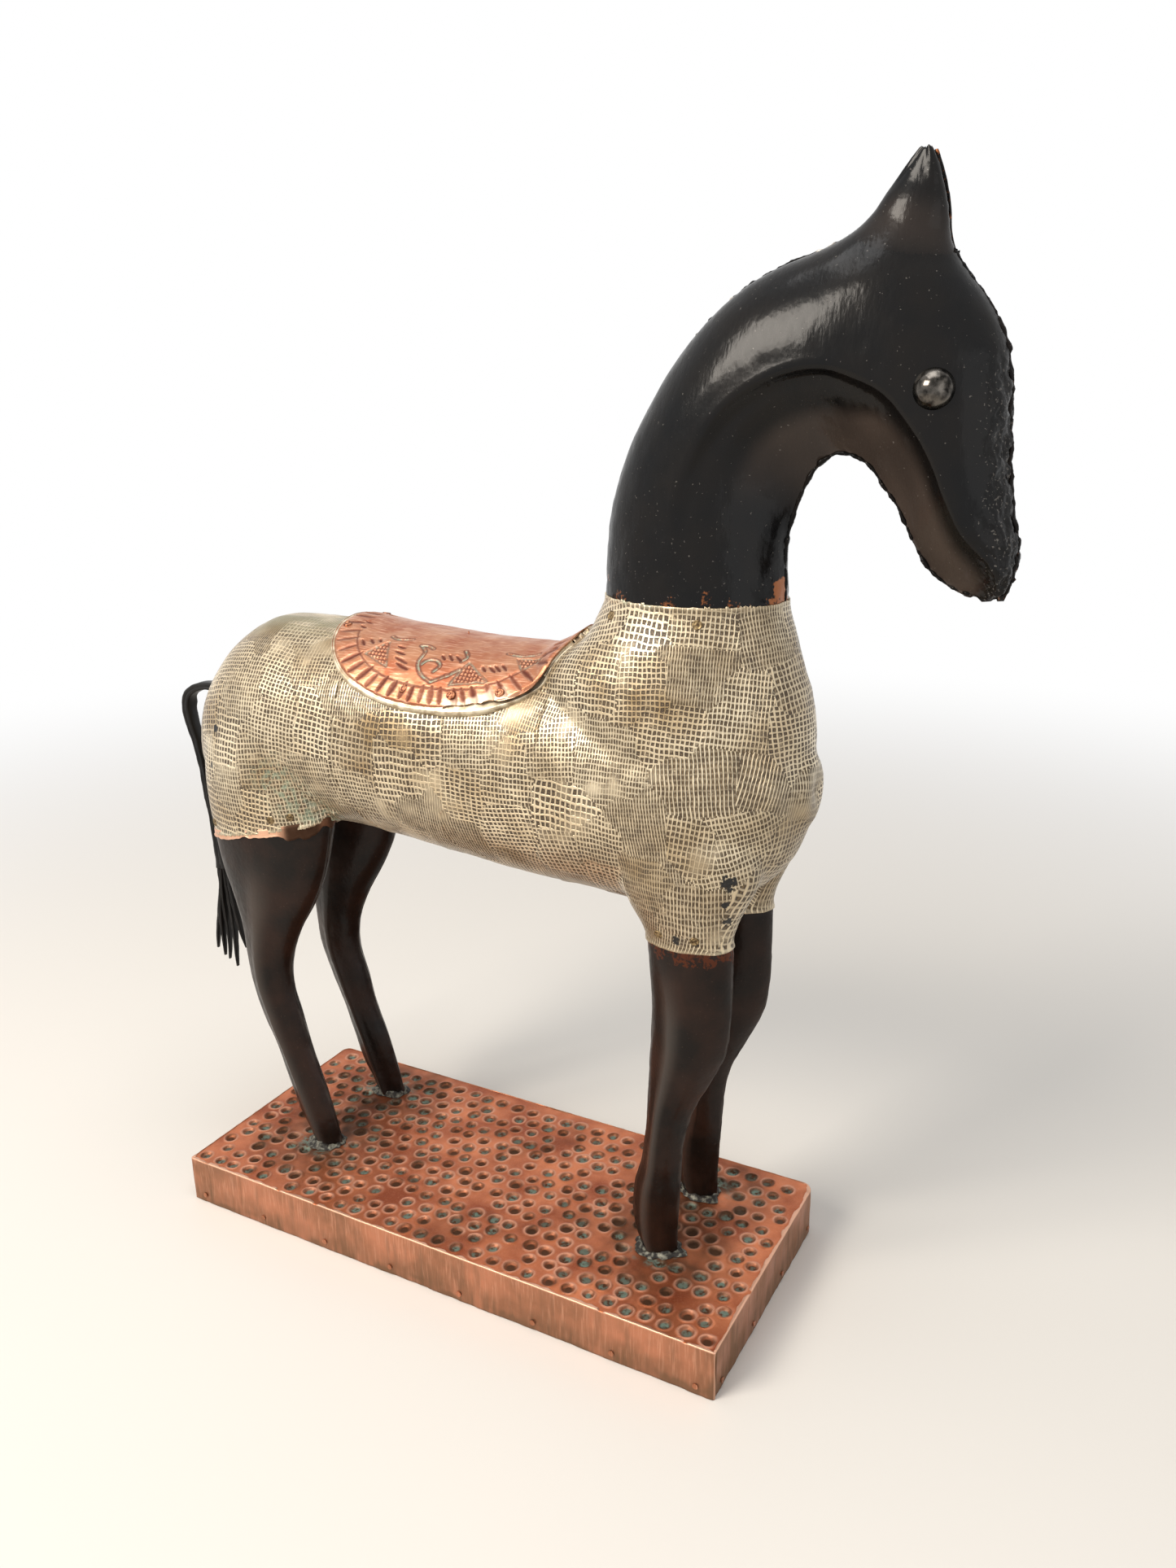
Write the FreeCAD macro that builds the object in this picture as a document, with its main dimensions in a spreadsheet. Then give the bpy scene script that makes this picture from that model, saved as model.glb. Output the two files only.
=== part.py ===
import FreeCAD, Part
import math
import os
import Sketcher

from FreeCAD import Placement, Rotation, Vector

# A standing metal horse on a clad base board. +X runs towards the head and +Z up, and the origin
# is the middle of the base's underside. The horse's own middle plane stands beside the base's.
document = FreeCAD.newDocument("HorseStatue")
sheet = document.addObject("Spreadsheet::Sheet", "Sizes")

size_rows = [
    ("base_length", 410.0, "base over its cladding, along X"),
    ("base_width", 178.0, "base over its cladding, along Y"),
    ("base_height", 34.0, "base from underside to top sheet"),
    ("base_sheet", 1.0, "copper on the base board"),
    ("base_corner", 6.0, "radius of the board's upright corners"),
    ("band_lift", 0.3, "band's lower edge above the board's underside"),
    ("lap_gap", 0.6, "open slit of the band's lap"),
    ("lap_inset", 9.0, "lap from the front corner, along the front end"),
    ("tack_head_radius", 1.8, "band tack"),
    ("tack_head_height", 0.5, "band tack"),
    ("tack_shank_radius", 0.7, "band tack"),
    ("tack_length", 8.0, "band tack under its head"),
    ("tack_height", 6.0, "band tacks above the underside"),
    ("tack_margin", 12.0, "first band tack from a corner"),
    ("tack_pitch", 60.0, "largest distance between band tacks"),
    ("horse_offset", 14.0, "horse's middle plane beside the base's"),
    ("trunk_rear", 229.0, "rump behind the origin"),
    ("trunk_length", 443.0, "rump to chest"),
    ("axis_height", 306.0, "barrel's axis above the base"),
    ("barrel_depth", 150.0, "barrel from back to belly"),
    ("barrel_width", 126.0, "barrel from side to side"),
    ("skin_sheet", 1.5, "embossed cladding"),
    ("trunk_tip", 1.5, "half size of the flat at each end of the trunk"),
    ("collar_height", 415.0, "collar above the base"),
    ("collar_length", 105.0, "neck at the collar, along X"),
    ("collar_width", 82.0, "neck at the collar, along Y"),
    ("head_reach", 224.0, "back of the neck to the nose"),
    ("head_rise", 182.0, "collar to the crest"),
    ("head_sheet", 1.5, "painted sheet of the head and neck"),
    ("seam_width", 1.2, "brazed seam between the head's halves"),
    ("seam_proud", 0.8, "seam outside the sheets"),
    ("seam_depth", 2.6, "seam inside the outline"),
    ("ear_height", 48.0, "ear above its root"),
    ("ear_length", 54.0, "ear's root, front to back"),
    ("ear_bulge", 17.0, "ear's root, outwards"),
    ("ear_sheet", 1.2, "ear's sheet"),
    ("ear_least_bulge", 2.4, "ear's tip, outwards"),
    ("ear_gap", 1.0, "ear's root from the middle plane"),
    ("ear_spread", 5.5, "ear's tip from the middle plane"),
    ("eye_radius", 10.0, "stud's dome"),
    ("eye_sink", 3.0, "dome's centre under the sheet"),
    ("eye_shank_radius", 3.0, "stud's shank"),
    ("eye_shank_length", 9.0, "stud's shank inside the sheet"),
    ("hind_spacing", 76.0, "hind legs, centre to centre"),
    ("hind_cuff_height", 242.5, "hind cuff above the base"),
    ("hind_cuff_depth", 105.6, "hind leg at the cuff, front to back"),
    ("hind_cuff_width", 44.0, "hind leg at the cuff, side to side"),
    ("hind_cuff_tilt", 12.6, "hind cuff's slope in degrees"),
    ("fore_spacing", 66.0, "fore legs, centre to centre"),
    ("fore_cuff_height", 219.0, "fore cuff above the base"),
    ("fore_cuff_depth", 53.0, "fore leg at the cuff, front to back"),
    ("fore_cuff_width", 34.0, "fore leg at the cuff, side to side"),
    ("leg_sheet", 1.2, "painted sheet of the legs"),
    ("plug_height", 40.0, "wooden plug in a foot"),
    ("peg_depth", 40.0, "wooden peg inside a leg"),
    ("peg_rise", 45.0, "leg peg inside the trunk"),
    ("peg_radius", 9.0, "leg peg inside the trunk"),
    ("neck_peg_rise", 42.0, "neck peg inside the neck"),
    ("neck_peg_depth", 60.0, "neck peg inside the trunk"),
    ("neck_peg_radius", 18.0, "neck peg inside the trunk"),
    ("weld_radius", 18.0, "foot solder at the base"),
    ("weld_top_radius", 13.0, "foot solder at the leg"),
    ("weld_height", 3.5, "foot solder"),
    ("screw_radius", 1.75, "base screw's shank"),
    ("screw_head_radius", 4.0, "base screw's head"),
    ("screw_head_height", 3.0, "base screw's cone"),
    ("screw_sink", 0.6, "screw head above the underside"),
    ("screw_grip", 28.0, "screw inside its foot plug"),
    ("nail_head_radius", 2.6, "cladding nail"),
    ("nail_head_height", 0.8, "cladding nail"),
    ("nail_shank_radius", 0.8, "cladding nail"),
    ("nail_length", 12.0, "cladding nail under its head"),
    ("nail_margin", 9.0, "nail from the cuff's or collar's edge"),
    ("saddle_length", 176.0, "saddle pad, along X"),
    ("saddle_width", 107.0, "saddle pad seen from above, along Y"),
    ("saddle_pad", 4.0, "pad's thickness"),
    ("saddle_sheet", 1.0, "copper plate's thickness"),
    ("saddle_rim", 2.5, "pad outside the plate's edge"),
    ("tail_reach", 40.0, "tail behind the rump"),
    ("tail_drop", 224.0, "tail from its root to its lowest tip"),
    ("tail_root_rise", 18.0, "tail root above the barrel's axis"),
    ("tail_strap_width", 11.0, "tail strap, side to side"),
    ("tail_strap_thickness", 6.0, "tail strap, folded double"),
    ("strand_top", 1.7, "strand's thickness at the strap"),
    ("strand_middle", 3.0, "strand's thickness half way down"),
    ("strand_tip", 1.6, "strand's thickness at its tip"),
    ("strand_width", 8.0, "strand at the strap, side to side"),
    ("overrun", 2.0, "how far a cutting solid passes a face"),
]
for row, (alias, value, note) in enumerate(size_rows, start=1):
    sheet.set("A%d" % row, alias)
    sheet.set("B%d" % row, str(value))
    sheet.set("C%d" % row, note)
    sheet.setAlias("B%d" % row, alias)
document.recompute()


def size(alias):
    return float(sheet.get(alias))


overrun = size("overrun")
top_of_base = size("base_height")
horse_place = Placement(Vector(0, size("horse_offset"), 0), Rotation())
ellipse_handle_share = 0.5523

# Rows run from the rump to the chest: how far along the trunk, the section's middle above the
# axis, its half depth and its half width, as shares of the trunk's length, depth and width.
trunk_shares = [
    (0.0068, -0.100, 0.160, 0.159),
    (0.0316, -0.087, 0.307, 0.302),
    (0.0768, -0.053, 0.433, 0.413),
    (0.1445, 0.000, 0.500, 0.476),
    (0.2235, 0.040, 0.473, 0.500),
    (0.3138, 0.047, 0.460, 0.500),
    (0.4041, 0.033, 0.467, 0.492),
    (0.5169, 0.007, 0.473, 0.492),
    (0.6298, -0.007, 0.487, 0.492),
    (0.7314, -0.013, 0.493, 0.500),
    (0.8330, -0.020, 0.493, 0.500),
    (0.9120, -0.007, 0.433, 0.444),
    (0.9684, 0.013, 0.307, 0.325),
    (0.9932, 0.027, 0.160, 0.159),
]
# Neck: height between the axis and the collar, middle ahead of the collar's, half length and
# half width, as shares of the collar's.
neck_shares = [
    (-0.092, -0.171, 1.410, 1.460),
    (0.275, -0.181, 1.552, 1.430),
    (0.532, -0.314, 1.610, 1.320),
    (0.642, -0.276, 1.495, 1.250),
    (0.734, -0.162, 1.324, 1.190),
    (0.826, -0.067, 1.171, 1.120),
    (0.917, -0.019, 1.057, 1.050),
    (1.000, 0.000, 1.000, 1.000),
]
# Thighs, above the cuff: height between cuff and axis, middle ahead of the cuff's as a share of
# its half depth, half depth, half width, outward place and slope as shares of the cuff's.
hind_thigh_shares = [
    (0.00, 0.000, 1.000, 1.00, 1.00, 1.0),
    (0.36, -0.010, 1.005, 1.18, 1.00, 0.6),
    (0.80, -0.020, 0.990, 1.32, 0.92, 0.0),
    (1.20, -0.030, 0.850, 1.25, 0.84, 0.0),
]
fore_thigh_shares = [
    (0.000, 0.000, 1.000, 1.00, 1.00, 1.0),
    (0.115, -0.057, 1.095, 1.15, 1.00, 1.0),
    (0.218, -0.113, 1.264, 1.32, 1.00, 1.0),
    (0.345, -0.132, 1.472, 1.50, 0.99, 1.0),
    (0.483, -0.170, 1.700, 1.65, 0.985, 1.0),
    (0.713, -0.208, 1.850, 1.71, 0.94, 1.0),
    (0.943, -0.283, 1.770, 1.59, 0.88, 1.0),
    (1.138, -0.396, 1.430, 1.29, 0.79, 1.0),
]
# Legs: height as a share of the cuff's, back edge and front edge from the cuff's middle as shares
# of its half depth, half width as a share of the cuff's, how flat each plate is, and the slope.
hind_leg_shares = [
    (0.000, 0.237, 0.691, 0.41, 0.35, 0.00),
    (0.050, 0.120, 0.650, 0.43, 0.35, 0.00),
    (0.100, -0.010, 0.597, 0.45, 0.35, 0.00),
    (0.194, -0.160, 0.464, 0.49, 0.35, 0.00),
    (0.293, -0.294, 0.294, 0.53, 0.35, 0.00),
    (0.392, -0.483, 0.180, 0.57, 0.35, 0.00),
    (0.491, -0.620, 0.060, 0.62, 0.32, 0.00),
    (0.586, -0.660, 0.085, 0.68, 0.28, 0.00),
    (0.685, -0.700, 0.275, 0.75, 0.20, 0.00),
    (0.783, -0.805, 0.559, 0.84, 0.10, 0.00),
    (0.870, -0.910, 0.780, 0.92, 0.05, 0.35),
    (1.000, -1.000, 1.000, 1.00, 0.00, 1.00),
]
fore_leg_shares = [
    (0.000, -1.150, -0.210, 0.60, 0.35, 0.00),
    (0.050, -1.300, -0.208, 0.61, 0.35, 0.00),
    (0.110, -1.370, -0.200, 0.62, 0.35, 0.00),
    (0.196, -1.320, -0.170, 0.65, 0.40, 0.00),
    (0.292, -1.130, -0.130, 0.68, 0.45, 0.00),
    (0.388, -1.040, -0.057, 0.72, 0.45, 0.00),
    (0.484, -1.000, 0.150, 0.76, 0.45, 0.00),
    (0.584, -0.960, 0.547, 0.82, 0.40, 0.00),
    (0.680, -0.925, 0.887, 0.89, 0.35, 0.00),
    (0.776, -0.900, 1.000, 0.95, 0.25, 0.00),
    (0.877, -0.920, 1.020, 1.00, 0.10, 0.35),
    (1.000, -1.000, 1.000, 1.00, 0.00, 1.00),
]
# Head and neck, from the collar over the crest to the muzzle: crest point and throat point as
# shares of reach and rise, half width as a share of the collar's, place of the crease between
# throat and crest, and how flat the plate below the crease is.
head_shares = [
    (0.000, 0.000, 0.469, 0.000, 1.00, 0.50, 0.0),
    (0.011, 0.225, 0.467, 0.160, 0.95, 0.50, 0.2),
    (0.069, 0.456, 0.489, 0.280, 0.90, 0.52, 0.6),
    (0.185, 0.687, 0.525, 0.374, 0.88, 0.51, 0.9),
    (0.342, 0.868, 0.565, 0.418, 0.85, 0.46, 1.0),
    (0.520, 0.955, 0.596, 0.426, 0.83, 0.43, 1.0),
    (0.676, 0.985, 0.627, 0.415, 0.80, 0.38, 1.0),
    (0.801, 0.925, 0.659, 0.390, 0.78, 0.38, 1.0),
    (0.904, 0.786, 0.690, 0.341, 0.73, 0.39, 1.0),
    (0.949, 0.643, 0.725, 0.286, 0.68, 0.41, 1.0),
    (0.958, 0.478, 0.766, 0.192, 0.61, 0.46, 1.0),
    (0.971, 0.324, 0.810, 0.115, 0.51, 0.53, 1.0),
    (0.998, 0.170, 0.868, 0.066, 0.37, 0.68, 1.0),
    (0.984, 0.077, 0.917, 0.052, 0.20, 0.72, 0.9),
]
# Ears: rear and front edge along the root and up, as shares of its length and height, bulge as a
# share of the root's, and distance from the middle plane between the gap and the spread.
ear_shares = [
    (0.000, -0.20, 1.000, -0.37, 1.00, 0.0),
    (0.260, 0.41, 0.960, 0.18, 0.76, 0.1),
    (0.410, 0.63, 0.930, 0.47, 0.53, 0.4),
    (0.570, 0.85, 0.860, 0.76, 0.30, 0.8),
    (0.685, 1.00, 0.770, 1.00, 0.13, 1.0),
]
# Where pieces sit along the trunk, as shares of its length.
hind_leg_share = 0.168
fore_leg_share = 0.866
collar_share = 0.835
saddle_share = 0.486
hip_seam_share = 0.341
shoulder_seam_share = 0.666
# Ear root on the head, and the eye, as shares of reach and rise.
ear_root_shares = (0.569, 0.926)
eye_shares = (0.819, 0.599)
# Foot centre from the cuff's middle, as a share of the cuff's half depth.
hind_foot_share = 0.41
fore_foot_share = -0.70
# Cladding nails along a cuff or the collar, as shares of its half depth.
hind_nail_shares = [-0.80, 0.35, 0.62]
fore_nail_shares = [-0.45, 0.40]
collar_nail_shares = [-0.70, 0.35]
# Saddle nails round the plate: angle as a share of a turn, and place from centre to edge.
saddle_nail_turn_shares = [0.055, 0.175, 0.305, 0.430]
saddle_nail_place_share = 0.86
# Tail strap from inside the rump: behind the rump as a share of the reach, down as a share of
# the drop, and thickness as a share of the strap's.
tail_shares = [
    (-0.350, 0.004, 1.00),
    (0.050, 0.000, 1.00),
    (0.450, 0.004, 1.00),
    (0.760, 0.030, 1.05),
    (0.870, 0.076, 1.15),
    (0.820, 0.143, 1.10),
    (0.700, 0.223, 1.00),
    (0.600, 0.312, 0.95),
    (0.550, 0.400, 0.90),
    (0.510, 0.482, 0.95),
    (0.460, 0.570, 1.30),
    (0.425, 0.634, 1.65),
]
strand_middle_width_share = 0.8
strand_tip_width_share = 0.3
# Strands from the strap's end: place of the top across the end, and the tip behind the rump and
# down, as shares of the reach and the drop.
strand_shares = [
    (0.40, 0.800, 0.946),
    (0.20, 0.690, 0.975),
    (0.00, 0.560, 0.984),
    (-0.20, 0.310, 1.000),
    (-0.40, 0.060, 0.924),
]


def trunk_x(share):
    return share * size("trunk_length") - size("trunk_rear")


axis_z = top_of_base + size("axis_height")
collar_z = top_of_base + size("collar_height")
collar_x = trunk_x(collar_share)


def section(back, front, width, foot_share=0.5, back_flat=0.0, front_flat=0.0):
    return {
        "back": back,
        "front": front,
        "width": width,
        "foot_share": foot_share,
        "back_flat": back_flat,
        "front_flat": front_flat,
    }


def thinned(outer, wall):
    # The same section, smaller all round by the wall. A negative wall makes it larger.
    along = (outer["front"] - outer["back"]).normalize()
    inner = dict(outer)
    inner["back"] = outer["back"] + along * wall
    inner["front"] = outer["front"] - along * wall
    inner["width"] = outer["width"] - wall
    return inner


def moved(original, by):
    copy = dict(original)
    copy["back"] = original["back"] + by
    copy["front"] = original["front"] + by
    return copy


def quarter(end, foot, out, flat):
    # One curve from the seam to the widest point: an ellipse's quarter, or flatter.
    ridge = foot + out
    round_end = end + out * ellipse_handle_share
    round_ridge = ridge + (end - foot) * ellipse_handle_share
    flat_end = end + (ridge - end) / 3
    flat_ridge = ridge + (end - ridge) / 3
    curve = Part.BezierCurve()
    curve.setPoles([
        end,
        round_end * (1 - flat) + flat_end * flat,
        round_ridge * (1 - flat) + flat_ridge * flat,
        ridge,
    ])
    return curve


def side_edges(cut, side):
    # From the back seam out to the widest point and in to the front seam.
    foot = cut["back"] + (cut["front"] - cut["back"]) * cut["foot_share"]
    out = Vector(0, side * cut["width"], 0)
    to_ridge = quarter(cut["back"], foot, out, cut["back_flat"])
    to_front = quarter(cut["front"], foot, out, cut["front_flat"])
    poles = to_front.getPoles()
    poles.reverse()
    to_front.setPoles(poles)
    return [to_ridge.toShape(), to_front.toShape()]


def full_wire(cut):
    near = side_edges(cut, -1)
    far = side_edges(cut, 1)
    return Part.Wire(Part.__sortEdges__(near + far))


def half_wire(cut, side):
    seam = Part.LineSegment(cut["front"], cut["back"]).toShape()
    return Part.Wire(side_edges(cut, side) + [seam])


def full_loft(cuts):
    return Part.makeLoft([full_wire(cut) for cut in cuts], True)


def eased(rows, steps):
    # Rows added between the given ones, on a smooth curve through them.
    eased_rows = []
    for index in range(len(rows) - 1):
        before = rows[max(index - 1, 0)]
        here = rows[index]
        there = rows[index + 1]
        after = rows[min(index + 2, len(rows) - 1)]
        for step in range(steps):
            t = step / steps
            weights = (
                (-t + 2 * t * t - t ** 3) / 2,
                (2 - 5 * t * t + 3 * t ** 3) / 2,
                (t + 4 * t * t - 3 * t ** 3) / 2,
                (t ** 3 - t * t) / 2,
            )
            row = []
            for column in zip(before, here, there, after):
                row.append(sum(weight * value for weight, value in zip(weights, column)))
            eased_rows.append(tuple(row))
    eased_rows.append(rows[-1])
    return eased_rows


def half_loft(cuts, side):
    return Part.makeLoft([half_wire(cut, side) for cut in cuts], True)


def block(low, high):
    return Part.makeBox(high.x - low.x, high.y - low.y, high.z - low.z, low)


def between_heights(low_z, high_z):
    reach = size("trunk_length") + size("head_reach")
    return block(Vector(-reach, -reach, low_z), Vector(reach, reach, high_z))


def one_solid(shape):
    # A boolean can leave crumbs beside the piece. The largest solid is the piece.
    return max(shape.Solids, key=lambda solid: solid.Volume)


def add_piece(label, shape, place=horse_place):
    piece = document.addObject("Part::Feature", label)
    piece.Label = label
    piece.Shape = shape
    piece.Placement = place
    return piece


# Trunk, neck and thighs as sections
def trunk_cuts(wall):
    length = size("trunk_length")
    depth = size("barrel_depth")
    width = size("barrel_width")
    tip = size("trunk_tip")
    shortened = (length - 2 * wall) / length
    middle_x = trunk_x(0.5)
    cuts = []
    rows = [(0.0, trunk_shares[0][1], 0.0, 0.0)] + eased(trunk_shares, 2)
    rows.append((1.0, trunk_shares[-1][1], 0.0, 0.0))
    for along, rise, half_depth, half_width in rows:
        x = middle_x + (trunk_x(along) - middle_x) * shortened
        z = axis_z + rise * depth
        half = max(half_depth * depth - wall, tip)
        across = max(half_width * width - wall, tip)
        cuts.append(section(Vector(x, 0, z - half), Vector(x, 0, z + half), across))
    return cuts


def neck_cuts(wall):
    half_length = size("collar_length") / 2
    half_width = size("collar_width") / 2
    cuts = []
    for rise, ahead, length_share, width_share in eased(neck_shares, 3):
        z = axis_z + rise * (collar_z - axis_z)
        x = collar_x + ahead * half_length
        half = length_share * half_length
        cut = section(Vector(x - half, 0, z), Vector(x + half, 0, z), width_share * half_width)
        cuts.append(thinned(cut, wall))
    return cuts


legs = {
    "hind": {
        "x": trunk_x(hind_leg_share),
        "cuff_z": top_of_base + size("hind_cuff_height"),
        "half_depth": size("hind_cuff_depth") / 2,
        "half_width": size("hind_cuff_width") / 2,
        "tilt": size("hind_cuff_tilt"),
        "out": size("hind_spacing") / 2,
        "leg_shares": hind_leg_shares,
        "thigh_shares": hind_thigh_shares,
        "foot_share": hind_foot_share,
        "nail_shares": hind_nail_shares,
    },
    "fore": {
        "x": trunk_x(fore_leg_share),
        "cuff_z": top_of_base + size("fore_cuff_height"),
        "half_depth": size("fore_cuff_depth") / 2,
        "half_width": size("fore_cuff_width") / 2,
        "tilt": 0.0,
        "out": size("fore_spacing") / 2,
        "leg_shares": fore_leg_shares,
        "thigh_shares": fore_thigh_shares,
        "foot_share": fore_foot_share,
        "nail_shares": fore_nail_shares,
    },
}


def sloped(leg, slope_share):
    angle = math.radians(leg["tilt"] * slope_share)
    return Vector(math.cos(angle), 0, math.sin(angle))


def thigh_cuts(leg, side, wall):
    cuts = []
    rows = eased(leg["thigh_shares"], 2)
    for rise, ahead, depth_share, width_share, out_share, slope_share in rows:
        middle = Vector(
            leg["x"] + ahead * leg["half_depth"],
            side * leg["out"] * out_share,
            leg["cuff_z"] + rise * (axis_z - leg["cuff_z"]),
        )
        reach = sloped(leg, slope_share) * (depth_share * leg["half_depth"])
        cut = section(middle - reach, middle + reach, width_share * leg["half_width"])
        cuts.append(thinned(cut, wall))
    return cuts


def leg_cuts(leg, side, wall):
    cuts = []
    y = side * leg["out"]
    for rise, back, front, width_share, flat, slope in leg["leg_shares"]:
        middle = Vector(leg["x"], y, top_of_base + rise * (leg["cuff_z"] - top_of_base))
        low = middle + sloped(leg, slope) * (back * leg["half_depth"])
        high = middle + sloped(leg, slope) * (front * leg["half_depth"])
        cut = section(low, high, width_share * leg["half_width"], 0.5, flat, flat)
        cuts.append(thinned(cut, wall))
    return cuts


def head_point(along, up):
    rear_x = collar_x - size("collar_length") / 2
    return Vector(rear_x + along * size("head_reach"), 0, collar_z + up * size("head_rise"))


def head_cuts(wall):
    half_width = size("collar_width") / 2
    cuts = []
    for crest_x, crest_z, throat_x, throat_z, width_share, crease, flat in eased(head_shares, 3):
        crest = head_point(crest_x, crest_z)
        throat = head_point(throat_x, throat_z)
        cut = section(throat, crest, width_share * half_width, crease, flat, 0.0)
        cuts.append(thinned(cut, wall))
    return cuts


def trunk_and_neck(wall):
    return full_loft(trunk_cuts(wall)).fuse(full_loft(neck_cuts(wall)))


def body_solid(wall):
    solid = trunk_and_neck(wall)
    for leg in legs.values():
        for side in (-1, 1):
            solid = solid.fuse(full_loft(thigh_cuts(leg, side, wall)))
    return solid


outer_body = body_solid(0.0)
inner_body = body_solid(size("skin_sheet"))


# Seats of nails and studs
def seat_on(solid, x, z, side):
    # The point where a level line from the side first meets the solid, and the way out of it.
    far = size("trunk_length")
    line = Part.LineSegment(Vector(x, side * far, z), Vector(x, 0, z)).toShape()
    inside = line.common(solid)
    point = max((vertex.Point for vertex in inside.Vertexes), key=lambda p: side * p.y)
    spot = Part.Vertex(point)
    face = min(solid.Faces, key=lambda candidate: candidate.distToShape(spot)[0])
    normal = face.normalAt(*face.Surface.parameter(point))
    if normal.y * side < 0:
        normal = normal * -1
    return point, normal


def nail(point, out):
    # The shank starts at the head's top, so that its hole passes right through the sheet.
    head_height = size("nail_head_height")
    head = Part.makeCylinder(size("nail_head_radius"), head_height, point, out)
    length = size("nail_length") + head_height
    shank = Part.makeCylinder(size("nail_shank_radius"), length, point + out * head_height, out * -1)
    return head, shank


def cladding_nails():
    nails = []
    for side in (-1, 1):
        spots = []
        for share in collar_nail_shares:
            x = collar_x + share * size("collar_length") / 2
            spots.append((x, collar_z - size("nail_margin")))
        for leg in legs.values():
            for share in leg["nail_shares"]:
                along = sloped(leg, 1.0) * (share * leg["half_depth"])
                z = leg["cuff_z"] + along.z + size("nail_margin")
                spots.append((leg["x"] + along.x, z))
        for x, z in spots:
            nails.append(nail(*seat_on(outer_body, x, z, side)))
    return nails


nails = cladding_nails()
nail_shanks = Part.makeCompound([shank for head, shank in nails])
nail_solids = [one_solid(head.fuse(shank)) for head, shank in nails]
add_piece("cladding_nails", Part.makeCompound(nail_solids))


# Saddle
saddle_x = trunk_x(saddle_share)


def oval_prism(inset):
    half_length = size("saddle_length") / 2 - inset
    half_width = size("saddle_width") / 2 - inset
    ellipse = Part.Ellipse(Vector(saddle_x, 0, axis_z), half_length, half_width)
    face = Part.Face(Part.Wire(ellipse.toShape()))
    return face.extrude(Vector(0, 0, size("barrel_depth")))


def saddle_layer(under, over, inset):
    cover = trunk_and_neck(-over).cut(outer_body)
    if under > 0:
        cover = cover.cut(trunk_and_neck(-under))
    return one_solid(cover.common(oval_prism(inset)))


pad_top = size("saddle_pad")
plate_top = pad_top + size("saddle_sheet")
saddle_pad = saddle_layer(0.0, pad_top, 0.0)
saddle_plate = saddle_layer(pad_top, plate_top, size("saddle_rim"))


def saddle_nails():
    pairs = []
    half_length = size("saddle_length") / 2
    half_width = size("saddle_width") / 2
    for side in (-1, 1):
        for share in saddle_nail_turn_shares:
            turn = 2 * math.pi * share
            x = saddle_x + saddle_nail_place_share * half_length * math.cos(turn)
            y = side * saddle_nail_place_share * half_width * math.sin(turn)
            low = Vector(x, y, axis_z)
            line = Part.LineSegment(low, low + Vector(0, 0, size("barrel_depth"))).toShape()
            crossing = line.common(saddle_plate).Vertexes
            point = max((vertex.Point for vertex in crossing), key=lambda p: p.z)
            middle = Vector(x, 0, axis_z)
            pairs.append(nail(point, (point - middle).normalize()))
    return pairs


saddle_pairs = saddle_nails()
saddle_shanks = Part.makeCompound([shank for head, shank in saddle_pairs])
saddle_nail_solids = [one_solid(head.fuse(shank)) for head, shank in saddle_pairs]
add_piece("saddle_nails", Part.makeCompound(saddle_nail_solids))
add_piece("saddle_plate", one_solid(saddle_plate.cut(saddle_shanks)))
add_piece("saddle_pad", one_solid(saddle_pad.cut(saddle_shanks)))

# Head and neck
head_outer = full_loft(head_cuts(0.0))
inner_cuts = head_cuts(size("head_sheet"))
inner_cuts.insert(0, moved(inner_cuts[0], Vector(0, 0, -overrun)))
head_inner = full_loft(inner_cuts[:-1])
half_seam = size("seam_width") / 2


def beside_seam(side):
    reach = size("head_reach") + size("trunk_length")
    low_y = half_seam if side > 0 else -reach
    high_y = reach if side > 0 else -half_seam
    return block(Vector(-reach, low_y, 0), Vector(reach, high_y, collar_z + 2 * size("head_rise")))


def outline_band():
    # The seam's strip in the middle plane: the head's outline, proud outside and deep inside.
    cuts = head_cuts(0.0)
    points = [cut["front"] for cut in cuts] + [cut["back"] for cut in reversed(cuts)]
    proud = []
    deep = []
    for index, point in enumerate(points):
        before = points[max(index - 1, 0)]
        after = points[min(index + 1, len(points) - 1)]
        along = (after - before).normalize()
        out = Vector(-along.z, 0, along.x)
        proud.append(point + out * size("seam_proud"))
        deep.append(point - out * size("seam_depth"))
    outside = Part.BSplineCurve()
    outside.interpolate(proud)
    inside = Part.BSplineCurve()
    inside.interpolate(deep)
    ends = [
        Part.LineSegment(proud[-1], deep[-1]),
        Part.LineSegment(deep[0], proud[0]),
    ]
    inside.reverse()
    edges = [outside.toShape(), ends[0].toShape(), inside.toShape(), ends[1].toShape()]
    face = Part.Face(Part.Wire(edges))
    face.translate(Vector(0, -half_seam, 0))
    strip = face.extrude(Vector(0, size("seam_width"), 0))
    return one_solid(strip.common(between_heights(collar_z, collar_z + 2 * size("head_rise"))))


head_seam = outline_band()
add_piece("head_seam", head_seam)



def ear(side):
    root = head_point(*ear_root_shares)
    wires = []
    for rear_x, rear_z, front_x, front_z, bulge_share, spread_share in ear_shares:
        y = side * (size("ear_gap") + spread_share * (size("ear_spread") - size("ear_gap")))
        rear = root + Vector(rear_x * size("ear_length"), y, rear_z * size("ear_height"))
        front = root + Vector(front_x * size("ear_length"), y, front_z * size("ear_height"))
        bulge = max(bulge_share * size("ear_bulge"), size("ear_least_bulge"))
        outer = section(rear, front, bulge)
        inner = thinned(outer, size("ear_sheet"))
        rim_rear = Part.LineSegment(inner["back"], rear).toShape()
        rim_front = Part.LineSegment(front, inner["front"]).toShape()
        back_edges = [edge.reversed() for edge in reversed(side_edges(inner, side))]
        wires.append(Part.Wire(side_edges(outer, side) + [rim_front] + back_edges + [rim_rear]))
    return one_solid(Part.makeLoft(wires, True).cut(head_outer))


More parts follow.
